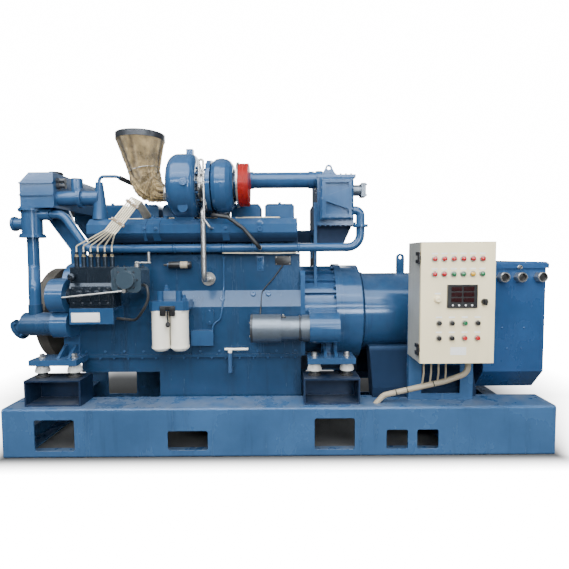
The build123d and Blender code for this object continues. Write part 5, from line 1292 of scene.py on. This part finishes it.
class FitTrim(bpy.types.Operator):
    """Fits conduit, clips, collars, clamps and studs round the engine"""

    bl_idname = "genset.fit_trim"
    bl_label = "Fit the engine's trim"

    def execute(self, context):
        self.block_trim()
        self.turbo_trim()
        self.filter_trim()
        self.starter_trim()
        self.tank_trim()
        self.solenoid_trim()
        return {"FINISHED"}

    def block_trim(self):
        """Conduit and wire clipped along the block, and a thin line under the water pipe."""
        sizes = settings("set_lines")
        low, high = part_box("crankcase")
        upper, lower = low.y + settings("set_fasteners").block_step, low.y
        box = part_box("junction_box")[1]
        x = high.x - 0.493
        conduit = bmesh.new()
        route = [
            (x, upper - 0.006, high.z - 0.025),
            (x, upper - 0.006, high.z - 0.120),
            (x - 0.002, upper - 0.006, high.z - 0.230),
            (x - 0.006, lower - 0.006, high.z - 0.340),
            (x - 0.020, lower - 0.007, high.z - 0.420),
            (x - 0.061, lower - 0.010, high.z - 0.440),
            (box.x - 0.010, lower - 0.018, high.z - 0.474),
            (box.x - 0.010, lower - 0.018, high.z - 0.490),
        ]
        tube(conduit, smooth_line(route), sizes.conduit)
        elbow = [(0, 0), (0.011, 0), (0.011, 0.010), (0.0085, 0.012), (0.0085, 0.020), (0, 0.020)]
        turned(conduit, elbow, Vector((x, upper, high.z - 0.022)), FRONT, 20)
        piece("block_conduit", conduit, "engine_blue")

        wire = bmesh.new()
        plate = Vector((high.x - 0.1125, upper - 0.0048, high.z - 0.074))
        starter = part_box("starter_motor")
        end = Vector((starter[0].x + 0.053, starter[1].y - 0.018, starter[1].z - 0.018))
        steps = ((0, 0, 0), (-0.050, 0, -0.075), (-0.118, 0, -0.145), (-0.140, 0, -0.185))
        route = [plate + Vector(step) for step in steps]
        route += [(end.x + 0.004, lower - 0.005, high.z - 0.330), (end.x, lower - 0.006, high.z - 0.362), end]
        tube(wire, smooth_line(route), sizes.wire)
        piece("starter_wire", wire, "hose_rubber")

        pipe_y, pipe_low = at("water_pipe").y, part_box("water_pipe")[0].z
        steps = ((0.495, 0, 0.0045), (0.300, 0.004, 0.0060), (0.150, 0.002, 0.0100), (0.005, 0, 0.0045))
        line = bmesh.new()
        route = [(high.x - back, pipe_y - out, pipe_low - drop) for back, out, drop in steps]
        tube(line, smooth_line(route), sizes.sensor_line)
        piece("sensor_line", line, "line_cream")
        along = (high.x - 0.490, high.x - 0.300, high.x - 0.012, low.x + 0.22, low.x + 0.62)
        clips = [(Vector((x, pipe_y, pipe_low + 0.027)), RIGHT, 1.0) for x in along]
        flat_bands("pipe_clips", clips, sizes.pipe_clip, 0.016, 0.0012, "engine_blue")

    def turbo_trim(self):
        """Clamp bands on the turbocharger, the exhaust's bright neck and the vent's rubber sleeve."""
        low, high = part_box("turbo_centre")
        middle = at("turbo_centre")
        reach = (high.z - low.z) / 2
        steel = bmesh.new()
        clamp = [(reach + 0.0004, 0), (reach + 0.007, 0), (reach + 0.009, 0.004), (reach + 0.007, 0.011),
                 (reach + 0.0004, 0.011), (reach + 0.0004, 0)]
        for x, axis in ((low.x, RIGHT), (high.x, LEFT)):
            turned(steel, clamp, Vector((x, middle.y, middle.z)), axis, 64)
        filter_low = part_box("air_filter")[0].x
        neck = 0.0722
        ring = [(neck, 0), (neck + 0.004, 0.001), (neck + 0.004, 0.009), (neck, 0.010), (neck, 0)]
        for x in (filter_low - 0.046, filter_low - 0.029):
            turned(steel, ring, Vector((x, middle.y, middle.z)), RIGHT, 64)
        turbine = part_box("turbine_housing")[0].x
        collar = [
            (0.030, -0.002), (0.064, -0.002), (0.064, 0.010), (0.0555, 0.012), (0.0555, 0.030),
            (0.030, 0.030), (0.030, -0.002),
        ]
        level = middle.z - settings("set_cloth").axis_drop
        turned(steel, collar, Vector((turbine, middle.y, level)), LEFT, 48)
        piece("turbo_bands", steel, "plated_steel")
        sleeve = bmesh.new()
        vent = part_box("vent_pipe")
        start = Vector((vent[0].x + 0.132, vent[0].y + 0.023, vent[1].z - 0.0157))
        end = Vector((vent[0].x + 0.215, vent[1].y - 0.0264, vent[0].z + 0.0168))
        route = [start.lerp(end, share) for share in (0, 0.5, 1)]
        tube(sleeve, route, settings("set_lines").vent_sleeve, 24)
        piece("vent_sleeve", sleeve, "hose_rubber")
        self.turbo_stays()

    def turbo_stays(self):
        """Bent straps over the front of the exhaust manifold, each with a bolt."""
        sizes = settings("set_fasteners")
        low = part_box("exhaust_manifold")[0]
        front, thick = low.y + sizes.strap_relief, 1.2 * sizes.strap_relief
        ends = sizes.strap_low * 0.15, sizes.strap_high + 0.85 * (sizes.strap_top - sizes.strap_high)
        deep = 0.85 * sizes.strap_slope
        bend = [
            (front + deep, ends[0]),
            (front, sizes.strap_low),
            (front, sizes.strap_high),
            (front + deep, ends[1]),
        ]
        stays, heads = bmesh.new(), []
        for place, width in ((0.356, 0.020), (0.428, 0.044), (0.856, 0.044)):
            x, half = low.x + place, width / 2
            inner = [Vector((x - half, y + thick / 2, low.z + z)) for y, z in bend]
            outer = [Vector((x - half, y - thick, low.z + z)) for y, z in bend]
            outline = [stays.verts.new(spot) for spot in inner + outer[::-1]]
            made = bmesh.ops.extrude_face_region(stays, geom=[stays.faces.new(outline)])
            moved = [item for item in made["geom"] if isinstance(item, bmesh.types.BMVert)]
            bmesh.ops.translate(stays, vec=(width, 0, 0), verts=moved)
            level = low.z + (sizes.strap_low + sizes.strap_high) / 2
            heads.append((Vector((x, front - thick, level)), FRONT, 0.9))
        bmesh.ops.recalc_face_normals(stays, faces=stays.faces)
        bmesh.ops.triangulate(stays, faces=[face for face in stays.faces if len(face.verts) > 4])
        piece("turbo_stays", stays, "engine_blue")
        bolts("stay_bolts", heads, "engine_blue")

    def filter_trim(self):
        """Lid rings on the two filters, the dark clamp and knob between them, and the fittings."""
        low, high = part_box("filters")
        radius = (high.y - low.y) / 2
        rings, dark = bmesh.new(), bmesh.new()
        lid = [(radius - 0.001, 0), (radius + 0.0022, 0), (radius + 0.0026, 0.004), (radius + 0.0022, 0.012),
               (radius - 0.001, 0.012), (radius - 0.001, 0)]
        depth = (low.y + high.y) / 2
        for x in (low.x + radius, high.x - radius):
            for level in (high.z - 0.0125, low.z + 0.0155):
                turned(rings, lid, Vector((x, depth, level)), UP, 64)
        piece("filter_rings", rings, "filter_white")
        middle = (low.x + high.x) / 2
        for inner, outer in ((middle - 0.046, middle - 0.012), (middle + 0.012, middle + 0.046)):
            slab(dark, (inner, low.y - 0.013, high.z - 0.030),
                 (outer, low.y + 0.004, high.z + 0.022), 0.005, 3)
        slab(dark, (middle - 0.046, low.y - 0.010, high.z + 0.008),
             (middle + 0.046, low.y + 0.004, high.z + 0.030), 0.004, 3)
        stem = [
            (0, 0), (0.0045, 0), (0.0045, 0.075), (0.013, 0.083), (0.015, 0.096), (0.010, 0.107), (0, 0.109),
        ]
        turned(dark, stem, Vector((middle, low.y - 0.002, high.z + 0.010)), DOWN, 24)
        piece("filter_clamp", dark, "black_plastic")
        fittings = bmesh.new()
        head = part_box("filter_head")[1]
        hexed = [
            (0, 0), (0.018, 0), (0.018, 0.014), (0.011, 0.016), (0.011, 0.034), (0.007, 0.037), (0, 0.037),
        ]
        turned(fittings, hexed, Vector((middle - 0.018, depth, head.z)), UP, 6)
        turned(fittings, hexed, Vector((head.x - 0.030, low.y + 0.045, head.z - 0.060)), UP, 6)
        piece("filter_fittings", fittings, "engine_blue")

    def starter_trim(self):
        """Terminal studs, end screws and bands of the starter motor."""
        low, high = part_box("starter_motor")
        centre = at("starter_motor")
        studs = [(Vector((low.x + 0.198, centre.y + y, high.z - 0.0128)), UP, 0.7) for y in (-0.012, 0.016)]
        studs += ring_of(Vector((low.x, centre.y, centre.z)), LEFT, 0.058, 4, 45, size=0.6)
        bolts("starter_studs", studs)
        iron = bmesh.new()
        rim = [(0.0885, 0), (0.0885, 0.012), (0.0872, 0.014), (0.0872, 0.0005), (0.0885, 0)]
        turned(iron, rim, Vector((low.x - 0.0004, centre.y, centre.z)), RIGHT, 64)
        ring = [(0.0742, 0), (0.080, 0), (0.080, 0.010), (0.0742, 0.010), (0.0742, 0)]
        turned(iron, ring, Vector((high.x - 0.064, centre.y, centre.z)), RIGHT, 64)
        piece("starter_bands", iron, "black_iron")
        block = bmesh.new()
        slab(block, (low.x + 0.187, centre.y - 0.030, high.z - 0.022),
             (low.x + 0.215, centre.y + 0.034, high.z - 0.0128), 0.003)
        piece("starter_terminal_block", block, "black_plastic")

    def tank_trim(self):
        """Filler cap and two fittings of the header tank."""
        low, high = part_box("expansion_tank")
        cap = bmesh.new()
        profile = [
            (0, 0), (0.034, 0), (0.034, 0.006), (0.044, 0.006), (0.046, 0.010), (0.046, 0.022),
            (0.040, 0.028), (0, 0.030),
        ]
        turned(cap, profile, Vector((high.x - 0.065, low.y + 0.17, high.z)), UP, 40)
        piece("filler_cap", cap, "black_iron")
        fittings = bmesh.new()
        elbow = [
            (0, 0), (0.020, 0), (0.020, 0.014), (0.013, 0.016), (0.013, 0.038), (0.017, 0.040),
            (0.017, 0.052), (0, 0.052),
        ]
        for level, sides in ((high.z - 0.046, 6), (low.z + 0.138, 24)):
            turned(fittings, elbow, Vector((high.x, low.y + 0.060, level)), RIGHT, sides)
        piece("tank_fittings", fittings, "black_iron")

    def solenoid_trim(self):
        """Beige coil and end caps of the stop solenoid."""
        low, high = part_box("junction_box")
        radius = 0.020
        bare, cased, wound = radius + 0.0003, radius + 0.002, radius + 0.003
        waist = radius + 0.0015
        axis = Vector((low.x, high.y - 0.018 - radius, high.z - radius))
        sleeve = bmesh.new()
        coil = [
            (bare, 0), (wound, 0.001), (wound, 0.018), (waist, 0.020), (waist, 0.023), (wound, 0.025),
            (wound, 0.047), (bare, 0.048), (bare, 0),
        ]
        turned(sleeve, coil, axis + Vector((0.078, 0, 0)), RIGHT, 40)
        piece("solenoid_coil", sleeve, "cable_sheath")
        ends = bmesh.new()
        boot = [
            (0, -0.028), (0.007, -0.028), (0.007, 0), (0.012, 0.001), (0.020, 0.010), (cased, 0.016),
            (cased, 0.074), (bare, 0.076), (bare, 0.004), (0, 0.004),
        ]
        turned(ends, boot, axis, RIGHT, 40)
        cap = [
            (bare, 0), (cased, 0), (cased, 0.016), (0.012, 0.022), (0, 0.023), (0, 0.0193), (bare, 0.0193),
            (bare, 0),
        ]
        turned(ends, cap, axis + Vector((0.1262, 0, 0)), RIGHT, 40)
        piece("solenoid_ends", ends, "black_plastic")


class FitDoorControls(bpy.types.Operator):
    """Fits lenses, buttons, bare labels and the display to the cabinet door"""

    bl_idname = "genset.fit_door_controls"
    bl_label = "Fit the door controls"

    lamp_rows = (
        (0.862, ("red_lens",) * 6),
        (0.738, ("red_lens", "red_lens", "green_lens", "green_lens", "amber_lens", "green_lens")),
    )
    switch_rows = (
        (0.336, ("black_plastic", "black_plastic", "green_lens", "black_plastic")),
        (0.212, ("black_plastic", "black_plastic", "red_lens", "red_lens")),
    )

    def execute(self, context):
        labels = bmesh.new()
        self.lamps_and_buttons(labels)
        self.buzzer_and_lock(labels)
        low, high = at("cabinet_door", 0.41, 0, 0.069), at("cabinet_door", 0.625, 0, 0.136)
        slab(labels, low - Vector((0, 0.001, 0)), high, 0.0005, 1)
        piece("bare_labels", labels, "label_white", "door")
        self.display()
        return {"FINISHED"}

    def label_over(self, labels, place, lift):
        """A bare white strip above a control."""
        sizes = settings("set_controls")
        middle = place + Vector((0, 0, lift))
        half = Vector((sizes.label_width / 2, 0, sizes.label_height / 2))
        slab(labels, middle - half - Vector((0, 0.0012, 0)), middle + half, 0.0005, 1)

    def lamps_and_buttons(self, labels):
        """Two rows of pilot lamps and two rows of buttons, each under its bare label."""
        sizes = settings("set_controls")
        radius, dome = sizes.lens_radius, sizes.lens_dome
        lenses, caps, bezels = {}, {}, bmesh.new()
        seat = [
            (0, 0), (0.017, 0), (0.017, 0.004), (0.0155, 0.006), (0.0135, 0.006), (0.0135, 0.004), (0, 0.004),
        ]
        lens = [(0, 0.004), (radius, 0.004), (radius, 0.012)]
        lens += [(radius * math.cos(a), 0.012 + dome * math.sin(a)) for a in (0.4, 0.8, 1.2)]
        lens.append((0, 0.012 + dome))
        for level, row in self.lamp_rows:
            for i, tint in enumerate(row):
                place = at("cabinet_door", 0.18 + 0.128 * i, 0, level)
                turned(bezels, seat, place, FRONT)
                turned(lenses.setdefault(tint, bmesh.new()), lens, place, FRONT, 24)
                self.label_over(labels, place, 0.029)
        seat = [
            (0, 0), (0.0165, 0), (0.0165, 0.005), (0.0148, 0.008), (0.0128, 0.008), (0.0128, 0.003),
            (0, 0.003),
        ]
        button = [(0, 0.003), (0.0118, 0.003), (0.0118, 0.016), (0.0108, 0.019), (0.006, 0.020), (0, 0.0195)]
        grip_low, grip_high = Vector((-0.0026, -0.026, -0.0105)), Vector((0.0026, -0.018, 0.0105))
        for level, row in self.switch_rows:
            for i, tint in enumerate(row):
                place = at("cabinet_door", 0.25 + 0.17333 * i, 0, level)
                turned(bezels, seat, place, FRONT)
                cap = caps.setdefault(tint, bmesh.new())
                turned(cap, button, place, FRONT, 24)
                self.label_over(labels, place, 0.032)
                if tint == "black_plastic":
                    slab(cap, place + grip_low, place + grip_high, 0.001)
        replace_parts(piece("lamp_bezels", bezels, "plated_steel", "door"), "door_lamps")
        for tint, glass in lenses.items():
            piece(f"lamp_{tint}", glass, tint, "door")
        for tint, cap in caps.items():
            piece(f"button_{tint}", cap, tint, "door")

    def buzzer_and_lock(self, labels):
        """The cream buzzer on the left and the black lock knob on the right."""
        buzzer, knob = bmesh.new(), bmesh.new()
        place = at("cabinet_door", 0.227, 0, 0.53)
        profile = [(0, 0), (0.0195, 0), (0.0195, 0.006), (0.017, 0.010), (0.0165, 0.016), (0.012, 0.019),
                   (0.004, 0.019), (0.004, 0.014), (0, 0.014)]
        turned(buzzer, profile, place, FRONT)
        piece("buzzer", buzzer, "cabinet_cream", "door")
        self.label_over(labels, place, 0.033)
        place = at("cabinet_door", 0.855, 0, 0.51)
        turned(knob, [(0, 0), (0.018, 0), (0.018, 0.010), (0.016, 0.016), (0, 0.016)], place, FRONT)
        slab(knob, place + Vector((-0.0055, -0.031, -0.018)),
             place + Vector((0.0055, -0.015, 0.018)), 0.003, 3)
        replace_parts(piece("lock_knob", knob, "black_plastic", "door"), "door_switches")

    def display(self):
        """Six dark red windows and four keys on the meter."""
        glass, keys = bmesh.new(), bmesh.new()
        half = Vector((0.029, 0, 0.0115))
        for column in (0.30, 0.71):
            for line in (0.82, 0.58, 0.34):
                middle = at("meter_panel", column, 0, line) + Vector((0, 0.003, 0))
                slab(glass, middle - half - Vector((0, 0.004, 0)), middle + half, 0.001, 1)
        for column in (0.17, 0.38, 0.60, 0.82):
            key = [(0, 0), (0.0052, 0), (0.0052, 0.002), (0.004, 0.003), (0, 0.003)]
            turned(keys, key, at("meter_panel", column, 0, 0.12), FRONT, 20)
        piece("display_windows", glass, "display_red", "door")
        piece("display_keys", keys, "label_white", "door")


class WrapExhaust(bpy.types.Operator):
    """Wraps the exhaust elbow in creased glass cloth"""

    bl_idname = "genset.wrap_exhaust"
    bl_label = "Wrap the exhaust"

    reach_shares = (0, 0.25, 0.5, 0.7, 0.83, 0.907, 1)
    height_shares = (0, 0, 0.05, 0.148, 0.3, 0.492, 1)
    radius_shares = (0.354, 0.37, 0.49, 0.6, 0.66, 0.7, 1)
    angles = (0, 8, 25, 46, 67, 82, 90)

    def execute(self, context):
        sizes = settings("set_cloth")
        around, steps = sizes.around, sizes.steps
        cloth, ties = bmesh.new(), bmesh.new()
        fold = cloth.verts.layers.float.new("fold")
        rings = []
        for n in range(steps + 1):
            share = 0.035 + 0.965 * n / steps
            centre, side, radius = self.station(share)
            calm = min(1.0, 9 * n / steps, 10 * (1 - n / steps))
            ring = []
            for i in range(around):
                angle = 2 * math.pi * i / around
                out = side * math.cos(angle) + Vector((0, 1, 0)) * math.sin(angle)
                lift = self.crease(centre + out * radius, share, angle)
                spot = cloth.verts.new(centre + out * (radius + calm * lift))
                # The fold value carries how far the cloth stands out; the cloth's finish paints shade where
                # it is low.
                spot[fold] = 0.75 + lift / sizes.wrinkle
                ring.append(spot)
            rings.append(ring)
        top = self.station(1.0)[0]
        bore = sizes.bore_radius
        for depth in (0.0, -sizes.bore_depth):
            ring = []
            for i in range(around):
                angle = 2 * math.pi * i / around
                spot = Vector((-bore * math.cos(angle), bore * math.sin(angle), depth))
                ring.append(cloth.verts.new(top + spot))
            rings.append(ring)
        for low, high in zip(rings, rings[1:]):
            for i in range(around):
                j = (i + 1) % around
                cloth.faces.new((low[i], low[j], high[j], high[i]))
        cloth.faces.new(rings[0])
        cloth.faces.new(rings[-1])
        for share in (0.10, 0.80):
            ring = rings[int(share * steps)]
            middle = sum((vert.co for vert in ring), Vector()) / around
            line = [middle + (vert.co - middle) * 1.012 for vert in ring]
            tube(ties, line + line[:1], sizes.tie_radius, 8)
        jacket = piece("lagging_jacket", cloth, "lagging_cloth", smooth=75.0)
        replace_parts(jacket, "exhaust_lagging")
        piece("lagging_ties", ties, "plated_steel")
        return {"FINISHED"}

    def station(self, share):
        """Centre, side direction and radius of the elbow at a share of its length."""
        rim_low, rim_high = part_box("exhaust_rim")
        middle = (rim_low + rim_high) / 2
        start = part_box("turbine_housing")[0].x
        low = at("turbo_centre").z - settings("set_cloth").axis_drop
        centre = Vector((
            start + (middle.x - start) * eased(self.reach_shares, share),
            middle.y,
            low + (rim_low.z - low) * eased(self.height_shares, share),
        ))
        angle = math.radians(eased(self.angles, share))
        side = Vector((-math.sin(angle), 0, -math.cos(angle)))
        return centre, side, ((rim_high.x - rim_low.x) / 2 - 0.002) * eased(self.radius_shares, share)

    def crease(self, place, along, angle):
        """How far the cloth stands out at a place."""
        depth = settings("set_cloth").wrinkle
        wrapped = Vector((math.cos(angle), math.sin(angle), 0))
        swirl = noise.noise(wrapped * 1.1 + Vector((0, 0, along * 2.5)))
        folds = ridge(noise.noise(wrapped * 2.6 + Vector((swirl * 0.7, 0, along * 1.2))))
        bunch = ridge(noise.noise(wrapped * 1.2 + Vector((0, 0, along * 11.0 + swirl * 2.0))))
        bend = max(0.0, 1 - abs(along - 0.42) / 0.34)
        fine = noise.noise(place * 46.0)
        return depth * (0.75 * folds + 0.85 * bend * bunch + 0.22 * fine + 0.35 * swirl - 0.62)


class FitGlands(bpy.types.Operator):
    """Fits the glands of the terminal box and of the cabinet's floor"""

    bl_idname = "genset.fit_glands"
    bl_label = "Fit the glands"

    gland_shares = (0.27, 0.55, 0.88)
    floor_gland_shares = (0.15, 0.78)

    def execute(self, context):
        sizes = settings("set_glands")
        low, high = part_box("terminal_glands")
        box_low, box_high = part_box("terminal_box")
        seals, steel, sleeves = bmesh.new(), bmesh.new(), bmesh.new()
        level = (low.z + high.z) / 2
        bore = sizes.bore
        seal = [(0, 0), (bore, 0), (bore, 0.002), (0.5 * bore, 0.004), (0, 0.004)]
        rim = [
            (bore, 0), (bore + 0.006, 0), (bore + 0.006, 0.004), (bore + 0.003, 0.007), (bore, 0.007),
            (bore, 0),
        ]
        along = [box_low.x + share * (box_high.x - box_low.x) for share in self.gland_shares]
        for x in along:
            turned(seals, seal, Vector((x, low.y + 0.010, level)), FRONT, 32)
            turned(steel, rim, Vector((x, low.y, level)), FRONT, 48)
        small = Vector((along[1], low.y + 0.030, high.z + 0.034))
        nut = [
            (0.006, -0.016), (0.014, -0.016), (0.014, -0.002), (0.011, 0), (0.011, 0.012), (0.006, 0.012),
            (0.006, -0.016),
        ]
        turned(steel, nut, small, FRONT, 6)
        turned(seals, [(0, 0), (0.006, 0), (0.006, 0.004), (0, 0.004)], small, FRONT, 20)
        cabinet_low, cabinet_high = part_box("cabinet_shell")
        y = cabinet_low.y + 0.45 * (cabinet_high.y - cabinet_low.y)
        inner, outer = sizes.floor_gland + 0.0002, sizes.floor_gland + 0.0055
        sleeve = [(inner, 0), (outer, 0), (outer, 0.014), (outer - 0.002, 0.016), (outer - 0.002, 0.024),
                  (inner, 0.027), (inner, 0)]
        for share in spread(*self.floor_gland_shares, sizes.floor_count):
            x = cabinet_low.x + share * (cabinet_high.x - cabinet_low.x)
            turned(sleeves, sleeve, Vector((x, y, cabinet_low.z)), DOWN, 24)
        piece("gland_seals", seals, "black_plastic")
        piece("gland_rims", steel, "plated_steel")
        piece("floor_glands", sleeves, "black_plastic")
        return {"FINISHED"}


class FitAirFilter(bpy.types.Operator):
    """Fits pleats, wire bands and the end flange to the red air filter ring"""

    bl_idname = "genset.fit_air_filter"
    bl_label = "Fit the air filter"

    def execute(self, context):
        sizes = settings("set_filter")
        low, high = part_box("air_filter")
        centre = Vector(((low.x + 0.010 + high.x) / 2, (low.y + high.y) / 2, (low.z + high.z) / 2))
        radius = sizes.radius
        points = []
        for i in range(sizes.pleats):
            angle = 2 * math.pi * i / sizes.pleats
            out = Vector((0, math.cos(angle), math.sin(angle)))
            points.append((centre + out * (radius + 0.0005), out, 1.0))
        values = {"Depth": 0.005, "Width": 0.003, "Length": high.x - low.x - 0.014}
        repeated("filter_pleats", points, pleats, values, "red_screen")
        along = (low.x + 0.014, centre.x, high.x - 0.004)
        hoops = [(Vector((x, centre.y, centre.z)), RIGHT, 1.0) for x in along]
        flat_bands("filter_hoops", hoops, radius + 0.003, 0.004, 0.0012, "red_screen")
        plate = bmesh.new()
        inner, edge, outer = radius - 0.044, radius + 0.0005, radius + 0.0105
        profile = [
            (inner, 0), (outer, 0), (outer, 0.0105), (edge, 0.0105), (edge, 0.0095), (inner, 0.0095),
            (inner, 0),
        ]
        turned(plate, profile, Vector((low.x - 0.0003, centre.y, centre.z)), RIGHT, 64)
        piece("filter_flange", plate, "plated_steel")
        return {"FINISHED"}


class FitBands(bpy.types.Operator):
    """Fits cable ties and hose clips"""

    bl_idname = "genset.fit_bands"
    bl_label = "Fit clips and ties"

    def execute(self, context):
        sizes = settings("set_lines")
        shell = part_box("cabinet_shell")
        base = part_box("base_beams")[1].z
        knots = [Vector((shell[0].x + x, shell[1].y - y, base + z))
                 for x, y, z in ((0.200, 0.102, 0.146), (0.060, 0.085, 0.108), (-0.100, 0.058, 0.062))]
        ties = [(knots[0].lerp(knots[1], 0.5), knots[1] - knots[0], 1.0)]
        ties += [(knots[1].lerp(knots[2], share), knots[2] - knots[1], 1.0) for share in (0.5, 0.9)]
        flat_bands("cable_ties", ties, sizes.cable_tie, 0.006, 0.0012, "black_plastic")
        low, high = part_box("coolant_hose")
        clips = [(Vector((high.x - 0.012, high.y - 0.056, low.z + 0.012)), BACK, 1.0),
                 (Vector((low.x + 0.012, at("turbo_centre").y, high.z - 0.022)), DOWN, 1.0)]
        flat_bands("hose_clips", clips, sizes.hose_clip, 0.010, 0.001, "plated_steel")
        return {"FINISHED"}


class SetStageUp(bpy.types.Operator):
    """Sets up the pale floor, the soft lights and the camera"""

    bl_idname = "genset.set_stage_up"
    bl_label = "Set up the stage"

    def execute(self, context):
        stage = settings("set_stage")
        self.floor(stage)
        self.sky(stage)
        self.lamp("key_light", stage.key_place, (0.0, -0.3, 0.9), 6.5, 3.4, stage.key)
        self.lamp("front_light", stage.front_place, (0.0, 0.0, 0.9), 11.0, 0.4, 2.4 * stage.fill)
        self.lamp("top_strip", stage.strip_place, (0.0, -0.3, 1.2), 9.0, 0.22, 0.6 * stage.fill)
        self.lamp("low_light", stage.low_place, (0.5, -0.4, 1.0), 1.1, 0.8, 0.65 * stage.fill)
        self.lamp("side_light", stage.side_place, (0.8, 0.0, 0.9), 1.2, 2.4, 0.4 * stage.fill)
        self.lamp("back_light", stage.back_place, (0.0, 0.0, 1.0), 4.0, 2.0, stage.fill)
        self.camera(stage)
        return {"FINISHED"}

    def floor(self, stage):
        """A wide floor, white further out, with a painted shadow round, under and behind the set where its
        glow fades and its tint darkens.
        """
        ground = bmesh.new()
        bmesh.ops.create_circle(ground, cap_ends=True, radius=40.0, segments=96)
        mesh = bpy.data.meshes.new("studio_floor")
        ground.to_mesh(mesh)
        ground.free()
        material, tree, shader = blank_finish("studio_floor")
        place = place_in(tree)
        tone = fitted(tree, noise_at(tree, place, 0.8, 4.0), 0.3, 0.7)
        pale = stage.floor_tone
        tint = mixed(tree, tone, (pale, pale, pale, 1), (pale + 0.02, pale + 0.02, pale + 0.02, 1))
        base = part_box("base_beams")[1]
        along, across = part_of(tree, place, "X"), part_of(tree, place, "Y")
        # Painted shadow: the tint darkens to near-black just behind the set.
        nearing = fitted(tree, across, 0.8 * base.y, base.y, 0.0, 0.8)
        near = product(tree, nearing, fitted(tree, across, 1.4 * base.y, 3 * base.y, 1.0, 0.0))
        # Painted shadow: the white glow fades out round, under and behind the set, so the dark floor shows
        # there.
        reach = fitted(tree, across, -base.y, base.y, stage.floor_edge, stage.floor_side)
        side = maths(tree, "SUBTRACT", maths(tree, "ABSOLUTE", along, 0.0), base.x)
        side = maths(tree, "MAXIMUM", maths(tree, "DIVIDE", side, reach), 0.0)
        front = fitted(tree, across, -base.y, -base.y - stage.floor_edge)
        back = fitted(tree, across, 2 * base.y, base.y + stage.floor_behind)
        end = maths(tree, "MAXIMUM", front, back)
        glow = fitted(tree, total(tree, product(tree, side, side), product(tree, end, end)), 0.0, 1.0)
        white = product(tree, glow, add(tree, "ShaderNodeLightPath").outputs["Is Camera Ray"])
        dress(
            tree, shader, Base_Color=mixed(tree, near, tint, PAINTED_SHADOW_BLACK), Roughness=0.8,
            Emission_Color=mixed(tree, white, BLACK, WHITE), Emission_Strength=stage.white,
        )
        mesh.materials.append(material)
        made = bpy.data.objects.new("studio_floor", mesh)
        made.location.z = -0.001
        bpy.context.collection.objects.link(made)

    def sky(self, stage):
        """An even light, bright above and dim near the floor, and a white backdrop for the camera alone."""
        world = bpy.context.scene.world or bpy.data.worlds.new("studio")
        bpy.context.scene.world = world
        world.use_nodes = True
        tree = world.node_tree
        light = tree.nodes["Background"]
        heading = add(tree, "ShaderNodeTexCoord").outputs["Generated"]
        rise = fitted(tree, part_of(tree, heading, "Z"), -0.1, 0.8, 0.12, 1.0)
        feed(tree, light.inputs["Color"], mixed(tree, rise, BLACK, tuple(stage.daylight)))
        feed(tree, light.inputs["Strength"], stage.sky)
        backdrop = add(tree, "ShaderNodeBackground", {"Strength": stage.white}).outputs["Background"]
        seen = add(tree, "ShaderNodeLightPath").outputs["Is Camera Ray"]
        choice = add(tree, "ShaderNodeMixShader", {"Fac": seen, 1: light.outputs["Background"], 2: backdrop})
        feed(tree, tree.nodes["World Output"].inputs["Surface"], choice.outputs["Shader"])

    def lamp(self, name, place, target, width, depth, power):
        """A large rectangular soft light aimed at a point."""
        light = bpy.data.lights.new(name, "AREA")
        light.shape = "RECTANGLE"
        light.size = width
        light.size_y = depth
        light.energy = power
        light.color = settings("set_stage").daylight[:3]
        made = bpy.data.objects.new(name, light)
        bpy.context.collection.objects.link(made)
        aim = (Vector(target) - Vector(place)).to_track_quat("-Z", "Y").to_matrix().to_4x4()
        made.matrix_world = Matrix.Translation(place) @ aim

    def camera(self, stage):
        """The camera at the photograph's viewing angle."""
        view = bpy.data.cameras.new("camera")
        view.lens = stage.lens
        view.sensor_width = 36.0
        view.clip_end = 200.0
        made = bpy.data.objects.new("camera", view)
        bpy.context.collection.objects.link(made)
        tilt = Matrix.Rotation(math.pi / 2 - stage.camera_pitch, 4, "X")
        aim = tilt @ Matrix.Rotation(stage.camera_roll, 4, "Z")
        made.matrix_world = Matrix.Translation(stage.camera_place) @ aim
        bpy.context.scene.camera = made


OPERATORS = (
    FinishSolids,
    FitBolts,
    FitMounts,
    FitPump,
    FitCovers,
    FitTrim,
    FitDoorControls,
    FitGlands,
    WrapExhaust,
    FitAirFilter,
    FitBands,
    SetStageUp,
)


class SetPanel(bpy.types.Panel):
    """Lists the steps that dress the set, with their settings"""

    bl_idname = "VIEW3D_PT_generator_set"
    bl_label = "Generator set"
    bl_space_type = "VIEW_3D"
    bl_region_type = "UI"
    bl_category = "Generator set"

    def draw(self, context):
        for step in OPERATORS:
            self.layout.operator(step.bl_idname)
        for name, group in SETTINGS.items():
            box = self.layout.box()
            box.label(text=group.__doc__)
            for setting in group.__annotations__:
                box.prop(getattr(context.scene, name), setting)


CLASSES = (*SETTINGS.values(), *OPERATORS, SetPanel)


def register():
    """Registers the classes and hangs the settings on the scene."""
    for item in CLASSES:
        bpy.utils.register_class(item)
    for name, group in SETTINGS.items():
        setattr(bpy.types.Scene, name, PointerProperty(type=group))


def unregister():
    """Takes the settings and classes away again."""
    for name in SETTINGS:
        delattr(bpy.types.Scene, name)
    for item in reversed(CLASSES):
        bpy.utils.unregister_class(item)


def main():
    """Dresses the set step by step."""
    register()
    bpy.ops.genset.finish_solids()
    bpy.ops.genset.fit_bolts()
    bpy.ops.genset.fit_mounts()
    bpy.ops.genset.fit_pump()
    bpy.ops.genset.fit_covers()
    bpy.ops.genset.fit_trim()
    bpy.ops.genset.fit_door_controls()
    bpy.ops.genset.fit_glands()
    bpy.ops.genset.wrap_exhaust()
    bpy.ops.genset.fit_air_filter()
    bpy.ops.genset.fit_bands()
    bpy.ops.genset.set_stage_up()


if __name__ == "__main__":
    main()
